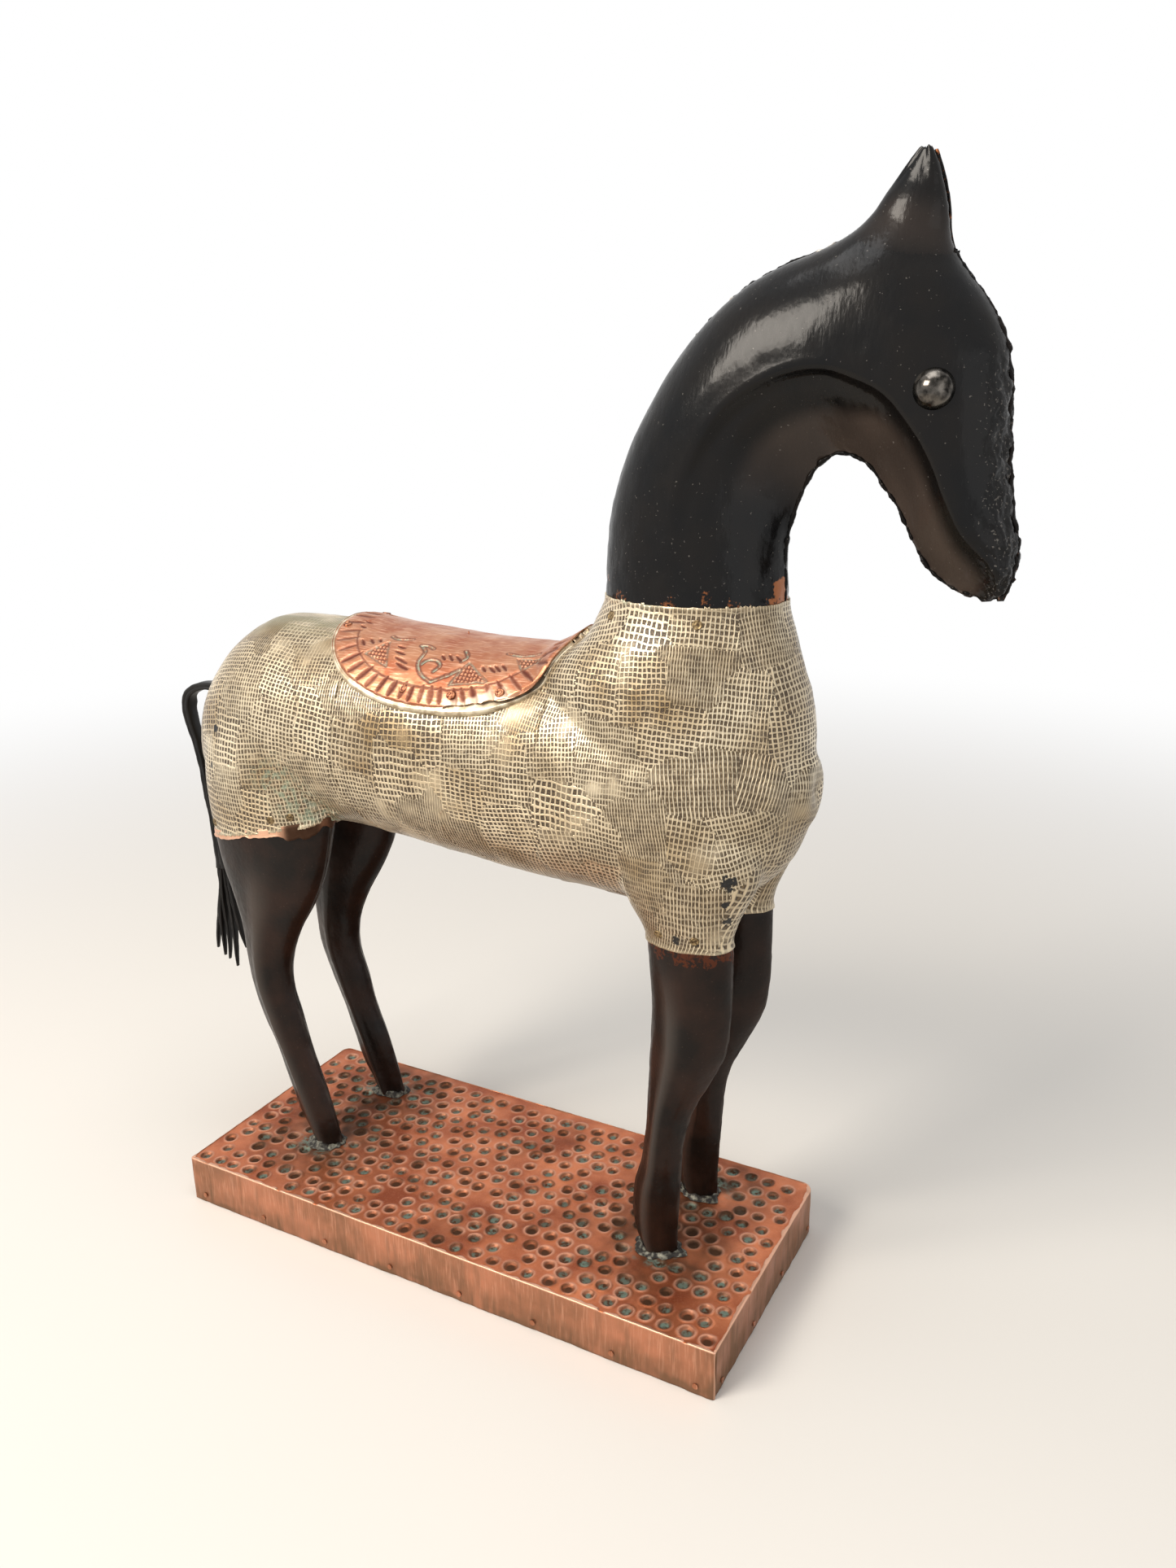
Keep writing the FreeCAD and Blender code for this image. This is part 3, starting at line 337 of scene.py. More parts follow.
def wornCopper(name, look):
    # copper sheet: salmon where rubbed, brown oxide in the hollows, grey-green carbonate where damp stood
    material, tree, place, split, fields = startMaterial(
        name, ("marks",), ((look["cloud"], 5), (3, 4), (0.8, 3)), Metallic=0.7)
    marks = split[0]
    cloud, bloom, grit = [field["Fac"] for field in fields]
    cloud = addNode(tree, "MapRange", [cloud, 0.35, 0.65])[0]
    stretched = addNode(tree, "VectorMath", [place, look["streak"]], operation="MULTIPLY")[0]
    streak = addNode(tree, "TexNoise", {"Vector": stretched, "Scale": 1 / (1.2 * mm), "Detail": 4})["Fac"]
    scratch = addNode(tree, "MapRange", [streak, 0.5, 0.75, 0.0, look["streakShare"]])[0]
    bloom = addNode(tree, "MapRange", [bloom, 0.38, 0.55])[0]
    bloom = addNode(tree, "Math", [bloom, marks["Green"]], operation="MULTIPLY")[0]
    colour = hexColour(look["rubbedAndSheen"])
    for mask, shade in ((cloud, "oxide"), (scratch, "scratch"), (marks["Red"], "hollow"),
                        (bloom, "verdigris"), (marks["Blue"], "bright")):
        colour = addNode(tree, "Mix", {0: mask, 6: colour, 7: hexColour(look[shade])}, data_type="RGBA")[2]
    rough = look["roughness"]
    rough = addNode(tree, "MapRange", {"Value": cloud, "To Min": rough - 0.06, "To Max": rough + 0.1})[0]
    rough = addNode(tree, "Math", [marks["Red"], 0.25, rough], operation="MULTIPLY_ADD")[0]
    height = addNode(tree, "Math", [streak, 0.6, grit], operation="MULTIPLY_ADD")[0]
    bump = addNode(tree, "Bump", {"Height": height, "Distance": look["grit"] * mm, "Strength": 0.6})[0]
    plugIn(tree, {"Base Color": colour, "Roughness": rough, "Normal": bump})
    return material


def blackPaint(name, look):
    # black gloss paint brushed on copper: thick and shiny, pitted, thinned to brown and chipped to copper at the
    # edges; its blue mark lays a lighter brown-grey painted sheen
    material, tree, place, split, fields = startMaterial(
        name, ("marks",), ((30, 4), (1.6, 2)), Coat_Weight=look["coat"], Coat_Roughness=0.16,
        Specular_IOR_Level=look["gloss"])
    marks = split[0]
    cloud, flecks = [field["Fac"] for field in fields]
    cloud = addNode(tree, "MapRange", [cloud, 0.38, 0.66])[0]
    fleck = addNode(tree, "Math", [marks["Green"], 0.09, flecks], operation="MULTIPLY_ADD")[0]
    fleck = addNode(tree, "MapRange", [fleck, 0.73, 0.77, 0.0, look["flecks"]])[0]
    chip = addNode(tree, "Math", [flecks, 0.7, marks["Red"]], operation="MULTIPLY_ADD")[0]
    chip = addNode(tree, "MapRange", [chip, 0.86, 0.98])[0]
    colour = hexColour(look["paint"])
    # the blue mark paints a lighter brown-grey: a painted sheen on the head's underside, the ears and the leg keels,
    # and a pale line along the legs' front joints
    for mask, shade in ((cloud, "thin"), (marks["Blue"], "rubbedAndSheen"), (fleck, "fleck"), (chip, "bare")):
        colour = addNode(tree, "Mix", {0: mask, 6: colour, 7: hexColour(look[shade])}, data_type="RGBA")[2]
    pits = addNode(tree, "TexVoronoi", {"Vector": place, "Scale": 1 / (2.6 * mm)})["Distance"]
    pits = addNode(tree, "Math", [pits, marks["Green"]], operation="MULTIPLY")[0]
    stretched = addNode(tree, "VectorMath", [place, look["stretch"]], operation="MULTIPLY")[0]
    brush = addNode(tree, "TexNoise", {"Vector": stretched, "Scale": 1 / (3.0 * mm), "Detail": 4})["Fac"]
    height = addNode(tree, "Math", [brush, look["brush"], pits], operation="MULTIPLY_ADD")[0]
    bump = addNode(tree, "Bump", {"Height": height, "Distance": 0.35 * mm, "Strength": 0.5})[0]
    rough = look["roughness"]
    rough = addNode(tree, "MapRange", [brush, 0.3, 0.7, rough - 0.08, rough + 0.12])[0]
    plugIn(tree, {"Base Color": colour, "Metallic": chip, "Roughness": rough,
                          "Normal": bump, "Coat Normal": bump})
    return material


def plainMetal(name, base, dark, roughness, grain, metallic=0.9, bumpMm=0.3, level=0.5):
    # lumpy metal left as cast or cut: even tone with dirt in its low places
    material, tree, place, split, fields = startMaterial(
        name, (), ((grain, 5),), Metallic=metallic, Roughness=roughness)
    lump = fields[0]["Fac"]
    mask = addNode(tree, "MapRange", [lump, level - 0.12, level + 0.12])[0]
    colour = addNode(tree, "Mix", {0: mask, 6: hexColour(dark), 7: hexColour(base)}, data_type="RGBA")[2]
    bump = addNode(tree, "Bump", {"Height": lump, "Distance": bumpMm * mm, "Strength": 0.7})[0]
    plugIn(tree, {"Base Color": colour, "Normal": bump})
    return material


def sawnPine():
    # softwood from the saw: yellow-brown, darker late wood each 4 mm, dull
    material, tree, place, split, fields = startMaterial("sawnPine", Roughness=0.75)
    stretched = addNode(tree, "VectorMath", [place, (0.06, 1.0, 1.0)], operation="MULTIPLY")[0]
    rings = addNode(tree, "TexNoise", {"Vector": stretched, "Scale": 1 / (4 * mm), "Detail": 4})["Fac"]
    pair = {0: rings, 6: hexColour("#8A6238"), 7: hexColour("#C39A66")}
    colour = addNode(tree, "Mix", pair, data_type="RGBA")[2]
    bump = addNode(tree, "Bump", {"Height": rings, "Distance": 0.2 * mm, "Strength": 0.5})[0]
    plugIn(tree, {"Base Color": colour, "Normal": bump})
    return material


whiteMetal = embossedWhiteMetal()
baseCopper = wornCopper("punchedCopper", {
    "rubbedAndSheen": "#CE7B52", "oxide": "#93492A", "scratch": "#E09A74", "hollow": "#3B2816",
    "verdigris": "#74877A", "bright": "#E0A284",
    "cloud": 34, "streak": (1.0, 1.0, 1.0), "streakShare": 0.15, "roughness": 0.36, "grit": 0.10})
bandCopper = wornCopper("hammeredCopperBand", {
    "rubbedAndSheen": "#B97656", "oxide": "#8A5A3C", "scratch": "#DCA284", "hollow": "#66492F",
    "verdigris": "#6F7F72", "bright": "#F0BFA2",
    "cloud": 26, "streak": (1.0, 1.0, 0.07), "streakShare": 0.55, "roughness": 0.36, "grit": 0.14})
saddleCopper = wornCopper("chasedCopper", {
    "rubbedAndSheen": "#C08663", "oxide": "#A05C3E", "scratch": "#E8B899", "hollow": "#54231A",
    "verdigris": "#8C9684", "bright": "#F2D8BE",
    "cloud": 18, "streak": (0.12, 1.0, 1.0), "streakShare": 0.7, "roughness": 0.34, "grit": 0.12})
tornCopper = wornCopper("tornCopper", {
    "rubbedAndSheen": "#D99B78", "oxide": "#A86A48", "scratch": "#E8BC9C", "hollow": "#36200F",
    "verdigris": "#7F8B7A", "bright": "#F0C6A8",
    "cloud": 9, "streak": (1.0, 1.0, 0.3), "streakShare": 0.4, "roughness": 0.4, "grit": 0.2})
headPaint = blackPaint("blackGlossPaint", {
    "paint": "#09090A", "thin": "#120F0D", "fleck": "#9A948E", "bare": "#8E5530", "rubbedAndSheen": "#463C36",
    "roughness": 0.30, "gloss": 0.03, "coat": 0.34, "flecks": 0.3, "brush": 0.6,
    "stretch": (1.5, 1.0, 0.35)})
seamPaint = blackPaint("paintOverBraze", {
    "paint": "#0B0A0A", "thin": "#1A1512", "fleck": "#8C857D", "bare": "#C9C0B4", "rubbedAndSheen": "#3A332E",
    "roughness": 0.45, "gloss": 0.05, "coat": 0.10, "flecks": 0.4, "brush": 0.9,
    "stretch": (1.0, 1.0, 1.0)})
legPaint = blackPaint("brownBlackPaint", {
    "paint": "#140E0B", "thin": "#2A1A13", "fleck": "#6B5548", "bare": "#552E1F", "rubbedAndSheen": "#4F4843",
    "roughness": 0.36, "gloss": 0.11, "coat": 0.14, "flecks": 0.16, "brush": 0.18,
    "stretch": (1.0, 1.0, 0.4)})
tailPaint = blackPaint("roughBlackPaint", {
    "paint": "#0C0C0C", "thin": "#191614", "fleck": "#5C5650", "bare": "#7A5A48", "rubbedAndSheen": "#33302D",
    "roughness": 0.42, "gloss": 0.2, "coat": 0.15, "flecks": 0.25, "brush": 0.6,
    "stretch": (1.0, 1.0, 0.4)})
solderMetal = plainMetal("softSolder", "#8C8A7C", "#211D18", 0.6, 3.0, 0.3, 0.5, 0.58)
nailSteel = plainMetal("darkNailIron", "#A08A64", "#4A3A28", 0.5, 1.5, 0.8, 0.1)
copperNail = plainMetal("copperNail", "#C08663", "#54231A", 0.4, 1.5, 0.9, 0.1)
studMetal = plainMetal("polishedStud", "#67625C", "#1D1B19", 0.16, 5.0, 0.95, 0.1)
rimMetal = plainMetal("wornWhiteMetal", "#E2D6BC", "#A8957A", 0.36, 6.0, 0.5, 0.2)
pine = sawnPine()
print("materials made")


# ---- base
base = {"length": 410.0, "width": 178.0, "corners": (9.0, 6.0, 1.6, 1.4), "step": 0.8, "hem": 0.8,
        # dimples: distance apart, how far they stray, and radii and heights of the punched form
        "pitch": 13.6, "jitter": 1.9, "leastGap": 11.2, "margin": 8.5, "missing": 0.04, "clearOfFeet": 15,
        "bowl": 3.1, "wall": 4.2, "rim": 4.9, "depth": 1.25, "rimHeight": 0.6,
        # side band: its inset, the fold over the top sheet, and the radius of the fold
        "inset": 0.45, "fold": 1.6, "foldRadius": 0.6, "bandBottom": 0.3, "sheet": 0.5,
        "boardInset": 1.4, "boardHeight": 30.6}
halfBase = np.array([base["length"], base["width"]]) / 2
feetPlaces = np.array([[-132.95, -24.0], [-132.95, 52.0], [136.1, -19.0], [136.1, 47.0]])


def feetDistance(flat):
    return np.min(np.linalg.norm(flat[:, None] - feetPlaces[None], axis=2), axis=1)


def dimpleCentres(rng):
    places = []
    pitch = base["pitch"]
    for row, y in enumerate(np.arange(-halfBase[1] + 9, halfBase[1] - 7, pitch * 0.88)):
        shift = pitch / 2 if row % 2 else 0
        for x in np.arange(-halfBase[0] + 8 + shift, halfBase[0] - 7, pitch):
            places.append((x, y))
    places = np.array(places) + rng.uniform(-base["jitter"], base["jitter"], (len(places), 2))
    clear = feetDistance(places) > base["clearOfFeet"]
    kept = places[clear & (rng.uniform(0, 1, len(places)) > base["missing"])]
    # dimples that would touch are pushed apart
    for turn in range(12):
        gap = kept[:, None] - kept[None]
        distance = np.linalg.norm(gap, axis=2) + 99 * np.eye(len(kept))
        push = np.clip(base["leastGap"] - distance, 0, 4) / distance
        kept = kept + 0.3 * np.sum(gap * push[:, :, None], axis=1)
    return np.clip(kept, -halfBase + base["margin"], halfBase - base["margin"])


def roundedCorners(flat):
    # pulls the places near the corners in; the radii run far right, far left, near left, near right
    quarter = np.where(flat[:, 1] > 0, np.where(flat[:, 0] > 0, 0, 1), np.where(flat[:, 0] > 0, 3, 2))
    reach = halfBase - base["hem"] - np.array(base["corners"])[quarter][:, None]
    over = np.maximum(np.abs(flat) - reach, 0)
    size = np.linalg.norm(over, axis=1)
    pull = np.where(size > 1e-6, np.maximum(over[:, 0], over[:, 1]) / np.maximum(size, 1e-6), 1)[:, None]
    return np.sign(flat) * (np.minimum(np.abs(flat), reach) + over * pull)


def makeBaseTop():
    rng = np.random.RandomState(seedNumber)
    centres = dimpleCentres(rng)
    sizes = rng.uniform(0.86, 1.08, len(centres))
    greens = (rng.uniform(0, 1, len(centres)) < 0.6) * rng.uniform(0.4, 1.0, len(centres))
    lines = [np.linspace(-half + base["hem"], half - base["hem"], int(2 * half / base["step"])) for half in halfBase]
    gx, gy = np.meshgrid(*lines, indexing="ij")
    flat = roundedCorners(np.stack([gx.reshape(-1), gy.reshape(-1)], axis=1))
    space = np.c_[flat, np.zeros(len(flat))]
    # each place's dimple, and its distance from it
    nearest = np.full(len(flat), 99.0)
    which = np.zeros(len(flat), int)
    wobble = layeredNoise(space, 5.0, 3, 2) * 0.35
    for index, centre in enumerate(centres):
        close = np.where((np.abs(flat[:, 0] - centre[0]) < 8) & (np.abs(flat[:, 1] - centre[1]) < 8))[0]
        distance = (np.linalg.norm(flat[close] - centre, axis=1) + wobble[close]) / sizes[index]
        better = distance < nearest[close]
        nearest[close[better]] = distance[better]
        which[close[better]] = index
    bowl = 1 - smoothStep(base["bowl"], base["wall"], nearest)
    rim = ridge(nearest - base["rim"], 0.8)
    swell = layeredNoise(space, 28.0, 7, 3)
    height = boardTop - base["rimHeight"] - 0.25 - bowl * base["depth"] + rim * base["rimHeight"] + 0.12 * swell
    height += 0.08 * layeredNoise(space, 4.0, 12, 2)
    # dirt in the bowls, darker round the feet, carbonate in some bowls, bright rims
    feet = feetDistance(flat)
    nearFoot = (1 - smoothStep(12, 68, feet)) * np.clip(0.75 + 0.55 * layeredNoise(space, 14.0, 5, 3), 0, 1.2)
    bowlFloor = 1 - smoothStep(base["bowl"] - 0.9, base["bowl"] + 0.7, nearest)
    hollow = 0.9 * bowlFloor + 0.8 * ridge(nearest - base["wall"], 0.9) + 0.72 * nearFoot
    hollow = np.clip(hollow + 0.25 * smoothStep(0.2, 0.9, swell), 0, 0.95)
    farSide = smoothStep(20, 80, flat[:, 1]) * smoothStep(40, 160, flat[:, 0])
    farSide = farSide + smoothStep(-90, -190, flat[:, 0]) * smoothStep(0, 70, flat[:, 1])
    damp = 0.9 * (1 - smoothStep(12, 26, feet)) * smoothStep(-0.1, 0.5, noiseAt(space, 6.0, 8))
    green = np.clip(bowlFloor * greens[which] + 0.35 * bowl * farSide + damp, 0, 1)
    bright = 0.9 * rim * smoothStep(-0.7, 0.5, noiseAt(space, 9.0, 15)) * (1 - 0.7 * np.clip(nearFoot, 0, 1))
    grid = np.c_[flat, height].reshape(*gx.shape, 3)
    marks = np.stack([hollow, green, np.clip(bright, 0, 0.8)], axis=1)
    top = sheetPiece("baseTopSheet", grid, base["sheet"], marks, backed=False)
    finishPiece(top, baseCopper, "base_copper", "base_top_sheet")


def roundedPath(half, step, startY):
    # walks round the board from the lap on its right end and back to it, evenly spaced
    points = [(half[0], startY)]
    for number, corner in enumerate(base["corners"]):
        cx = (half[0] - corner) * (1 if number in (0, 3) else -1)
        cy = (half[1] - corner) * (1 if number < 2 else -1)
        for part in range(10):
            angle = math.radians(90 * number + 10 * part)
            points.append((cx + corner * math.cos(angle), cy + corner * math.sin(angle)))
    points.append((half[0], startY - 0.3))
    return evenly(np.array(points), step)


def makeBaseBand():
    path, run = roundedPath(halfBase - base["inset"], 1.0, -halfBase[1] + 2.6)
    ahead = np.gradient(path, axis=0)
    out = unit(np.stack([ahead[:, 1], -ahead[:, 0]], axis=1))
    along = onLine(run)
    # turned down over the top sheet on the near and right sides, cut flush on the others
    turned = smoothStep(2, -4, path[:, 1] + halfBase[1] - 6) + smoothStep(-4, 2, path[:, 0] - halfBase[0] + 6)
    turned = np.clip(turned, 0, 1)
    foldEnd = base["fold"] * (0.35 + 0.65 * turned) * np.clip(1 + 0.6 * layeredNoise(along, 7.0, 31, 3), 0.15, 2)
    tears = smoothStep(0.72, 0.95, noiseAt(along, 11.0, 37)) * turned
    # the lap: a bright cut edge over a dark line; the end that faces away from the window gets a painted shade of
    # brown
    cutEdge = smoothStep(run[-1] - 1.8, run[-1] - 0.6, run)
    underLap = 1 - smoothStep(0.3, 2.4, run)
    paintedShadeEnd = smoothStep(halfBase[0] - 6, halfBase[0] - 1, path[:, 0]) * (1 - cutEdge)
    rows = []
    marks = []
    radius = base["foldRadius"]
    heights = np.linspace(base["bandBottom"], boardTop - 1.4, 30)
    for height in np.r_[heights, boardTop - 0.9, boardTop - 0.5, boardTop - 0.25, boardTop - 0.08]:
        space = onLine(run, 0.0, height)
        push = 0.22 * layeredNoise(space, (7.0, 1, 26.0), 41, 3) + 0.30 * layeredNoise(space, (34.0, 1, 30.0), 44, 2)
        push *= smoothStep(boardTop + 1, boardTop - 7, height)
        rise = max(0.0, height - (boardTop - radius - 0.08))
        inward = max(0.0, radius - math.sqrt(max(0.0, radius ** 2 - rise ** 2)))
        top = smoothStep(boardTop - 2.5, boardTop, height)
        lowered = height - top * (0.9 * tears + 0.35 * (1 - turned) + 0.12 * (1 + noiseAt(along, 4.0, 53)))
        rows.append(np.c_[path + out * np.clip(push - 0.05 - inward, -1.2, 0.42)[:, None], lowered])
        # dents, grime along the bottom, and painted shade on the far end; the folded edge is bright
        low = (1 - smoothStep(1.0, 9.0, height)) * smoothStep(-0.4, 0.7, noiseAt(space, (14.0, 1, 8.0), 49))
        dark = 0.75 * low + 0.4 * smoothStep(0.35, 0.9, noiseAt(space, (3.0, 1, 22.0), 47))
        dark += (1 - smoothStep(7.0, 21.0, height)) * (0.45 + 0.25 * noiseAt(space, (2.5, 1, 18.0), 50))
        dark += 0.42 * paintedShadeEnd * (0.8 + 0.4 * noiseAt(space, 16.0, 54)) + underLap
        edge = smoothStep(boardTop - 1.4, boardTop - 0.5, height) * turned * (1 - tears)
        marks.append(np.stack([np.clip(dark, 0, 0.9), run * 0, 0.08 + 0.6 * cutEdge + 0.62 * edge], axis=1))
    for share in (0.35, 0.7, 1.0):
        drop = 0.15 + 0.42 * share + 0.10 * noiseAt(onLine(run, 0.0, boardTop), 4.0, 52) + 0.9 * tears
        drop = drop + 0.35 * (1 - turned)
        rows.append(np.c_[path - out * (radius + foldEnd * share)[:, None], boardTop - drop])
        marks.append(np.stack([0.25 * tears + 0.3 * (1 - turned), run * 0, 0.6 * turned * (1 - tears)], axis=1))
    band = sheetPiece("baseSideBand", np.array(rows)[::-1], base["sheet"], np.concatenate(marks[::-1]))
    finishPiece(band, bandCopper, "base_copper", "base_side_band")


def makeBoard():
    # the board, planed a little under the sheets so that the punched bowls clear it
    half = halfBase - base["boardInset"]
    path = roundedPath(half, 4.0, 0.0)[0][:-1]
    rings = []
    top = base["boardHeight"]
    for inset, z in ((0.8, 0.0), (0.0, 0.8), (0.0, top - 1.2), (1.2, top)):
        rings.append(np.c_[path * (1 - inset / half[1]), np.full(len(path), z)])
    board = tubePiece("baseBoard", np.array(rings), smooth=False)
    finishPiece(board, pine, "board_wood", "base_board")


makeBaseTop()
makeBaseBand()
makeBoard()
print("base made")


# ---- cladding on the trunk
cladding = {"voxel": 2.3, "smoothing": 14, "thickness": 0.9, "coreGap": 2.6, "coreShare": 0.12,
            "lowest": 246.0, "above": 4.0, "foremost": 232.0,
            # patches of cloth print: distance apart, step between them; step at a seam, dents
            "patchGap": 27.0, "patchStep": 0.22, "patchTurn": 9, "panelStep": 0.5, "dent": 0.35,
            "hipSeamX": -78.0, "shoulderSeamX": 66.0,
            # dark flakes on the near side, as ahead, up and size
            "paintSpots": [(185, 301, 5.5), (183, 287, 2.6), (182, 275, 3.2), (154, 261, 3.4),
                           (165, 261, 3.4), (-182, 346, 3.0), (-186, 321, 2.4)],
            # folds, as a path of places on one side, width and height: chest, neck's root, crumpled hip
            "folds": [([(199, 17, 412), (193, 35, 384), (174, 46, 382), (153, 52, 381)], 1.3, 0.8),
                      ([(206, 10, 372), (196, 38, 366), (181, 52, 369)], 1.2, 0.5),
                      ([(84, 43, 404), (78, 50, 388), (88, 55, 378)], 1.4, 0.6),
                      ([(116, 41, 436), (137, 44, 425), (141, 47, 408)], 1.2, 0.4),
                      ([(-126, 56, 322), (-118, 54, 309), (-108, 50, 298)], 1.7, 1.7),
                      ([(-139, 58, 313), (-126, 54, 303), (-114, 50, 295)], 1.6, 1.4),
                      ([(-112, 57, 318), (-104, 51, 303), (-98, 46, 293)], 1.6, 1.4),
                      ([(-116, 54, 284), (-107, 49, 290), (-97, 42, 296)], 2.4, 1.8)],
            "hipStain": [(-128, 0, 318), (-104, 0, 292)], "stainWidth": 14}
saddleMiddle = -13.7


def sagAt(ahead, aside):
    # how far the back sinks under the saddle, by the distance from its middle
    sunk = 2.2 * smoothStep(-80, -45, ahead) + 2.6 * smoothStep(62, 88, ahead)
    return smoothStep(42, 13, aside) * sunk * smoothStep(116, 90, ahead)


def readArray(items, name, each, kind):
    values = np.zeros(len(items) * each, kind)
    items.foreach_get(name, values)
    return values


def quadsOf(mesh):
    # points in mm and faces of a mesh that has only faces with four corners
    points = readArray(mesh.vertices, "co", 3, np.float32).reshape(-1, 3).astype(float) / mm
    return points, readArray(mesh.loops, "vertex_index", 1, np.int32).reshape(-1, 4)


def joinedCad(names):
    points = []
    faces = []
    for name in names:
        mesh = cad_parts[name].data
        mesh.calc_loop_triangles()
        triangles = readArray(mesh.loop_triangles, "vertices", 3, np.int32).reshape(-1, 3)
        faces.append(triangles + sum(len(part) for part in points))
        points.append(readArray(mesh.vertices, "co", 3, np.float32).reshape(-1, 3) / mm)
    return np.concatenate(points), np.concatenate(faces)


def applied(piece, kind, **settings):
    # the piece's mesh with one modifier applied; the piece itself is removed
    modifier = piece.modifiers.new(kind.lower(), kind)
    for key, value in settings.items():
        setattr(modifier, key, value)
    graph = bpy.context.evaluated_depsgraph_get()
    mesh = bpy.data.meshes.new_from_object(piece.evaluated_get(graph))
    bpy.data.objects.remove(piece)
    return mesh


def edgesOf(faces):
    return np.concatenate([faces[:, [0, 1]], faces[:, [1, 2]], faces[:, [2, 3]], faces[:, [3, 0]]])


def gathered(index, values, count):
    # sums of the rows of values that share an index
    sums = [np.bincount(index, weights=values[:, axis], minlength=count) for axis in range(values.shape[1])]
    return np.stack(sums, axis=1)


def relaxed(points, faces, rounds):
    # evens out the joints between thighs, barrel and neck without shrinking them
    edges = edgesOf(faces)
    start, end = np.concatenate([edges, edges[:, ::-1]]).T
    count = np.maximum(np.bincount(start, minlength=len(points)), 1)[:, None]
    for index in range(2 * rounds):
        share = 0.55 if index % 2 == 0 else -0.52
        mean = gathered(start, points[end], len(points)) / count
        points = points + (mean - points) * share
    return points


def treeOf(points, faces):
    return BVHTree.FromPolygons([Vector(p) for p in points.tolist()], faces.tolist())


def faceFrames(points, faces):
    corner = points[faces]
    normal = unit(np.cross(corner[:, 2] - corner[:, 0], corner[:, 3] - corner[:, 1]))
    return corner.mean(axis=1), normal


def pointNormals(points, faces):
    normal = faceFrames(points, faces)[1]
    return unit(gathered(faces.reshape(-1), np.repeat(normal, 4, axis=0), len(points)))


def makeTrunkSurface():
    pairs = ("hind_right", "hind_left", "fore_right", "fore_left")
    skins = ["skin_%s_%s" % (part, side) for part in ("rear", "middle", "front") for side in ("right", "left")]
    others = ["leg_shell_%s_%s" % (pair, half) for pair in pairs for half in ("outer", "inner")]
    others += ["leg_peg_" + pair for pair in pairs] + ["head_shell_right", "head_shell_left", "neck_peg"]
    # the cladding with its legs and neck, remade as one even skin of quads
    piece = addMesh("trunkBlank", *joinedCad(["body_core"] + skins + others))
    points, faces = quadsOf(applied(piece, "REMESH", mode="VOXEL", voxel_size=cladding["voxel"] * mm))
    piece = addMesh("trunkFine", relaxed(points, faces, cladding["smoothing"]), faces)
    points, faces = quadsOf(applied(piece, "SUBSURF", levels=1, render_levels=1))
    # keep what lies nearer to the cladding than to the legs and the neck
    skinTree = treeOf(*joinedCad(skins))
    otherTree = treeOf(*joinedCad(others))
    centre = faceFrames(points, faces)[0]
    keep = (centre[:, 2] > cladding["lowest"]) & (centre[:, 2] < collarZ + cladding["above"])
    keep &= centre[:, 0] < cladding["foremost"]
    for index in np.where(keep)[0]:
        near = skinTree.find_nearest(Vector(centre[index]), 9.0)
        other = otherTree.find_nearest(Vector(centre[index]), 6.0)
        beside = other[0] is not None and near[0] is not None and other[3] < near[3] + 0.02
        keep[index] = near[0] is not None and not beside
    return outsideOf(points, faces[keep])


def outsideOf(points, faces):
    # the largest connected surface: each point takes the lowest number of its neighbours, again and again
    label = np.arange(len(points))
    before = None
    while not np.array_equal(before, label):
        before = label.copy()
        np.minimum.at(label, faces.reshape(-1), np.repeat(label[faces].min(axis=1), 4))
        label = label[label]
    main = np.bincount(label[faces[:, 0]]).argmax()
    used, faces = np.unique(faces[label[faces[:, 0]] == main], return_inverse=True)
    return points[used], faces.reshape(-1, 4)


def patchSeeds(centre, rng):
    seeds = []
    for index in rng.permutation(len(centre))[:6000]:
        if all(np.linalg.norm(centre[index] - centre[other]) > cladding["patchGap"] for other in seeds):
            seeds.append(index)
    return np.array(seeds)


def patchFrames(points, faces, rng):
    # each patch of cloth print has its own direction across the surface
    centre, normal = faceFrames(points, faces)
    seeds = patchSeeds(centre, rng)
    z = normal[seeds]
    level = np.where(np.abs(z[:, :1]) > 0.75, np.array([[0.0, 1.0, 0.0]]), np.array([[1.0, 0.0, 0.0]]))
    u = unit(level - z * np.sum(level * z, axis=1, keepdims=True))
    v = np.cross(z, u)
    turn = np.radians(rng.uniform(-cladding["patchTurn"], cladding["patchTurn"], len(seeds)))[:, None]
    u, v = u * np.cos(turn) + v * np.sin(turn), v * np.cos(turn) - u * np.sin(turn)
    stretch = rng.uniform(0.75, 1.25, (len(seeds), 2))
    best = np.full(len(centre), 1e9)
    which = np.zeros(len(centre), int)
    for index, seed in enumerate(seeds):
        away = centre - centre[seed]
        distance = np.maximum(np.abs(away @ u[index]) * stretch[index, 0], np.abs(away @ v[index]) * stretch[index, 1])
        distance = distance + 0.35 * np.abs(away @ z[index]) + (normal @ z[index] < 0.1) * 80
        better = distance < best
        best[better] = distance[better]
        which[better] = index
    return which, centre[seeds], u, v


def distanceToPath(points, path):
    best = np.full(len(points), 1e9)
    for start, end in zip(path[:-1], path[1:]):
        along = end - start
        t = np.clip(((points - start) @ along) / (along @ along), 0, 1)[:, None]
        best = np.minimum(best, np.linalg.norm(points - start - t * along, axis=1))
    return best


def rimDistance(points, faces):
    # each point's distance from the surface's raw edge
    unique, times = np.unique(np.sort(edgesOf(faces), axis=1), axis=0, return_counts=True)
    rim = points[np.unique(unique[times == 1])].tolist()
    tree = KDTree(len(rim))
    for index, point in enumerate(rim):
        tree.insert(point, index)
    tree.balance()
    return np.array([tree.find(Vector(p))[2] for p in points.tolist()])


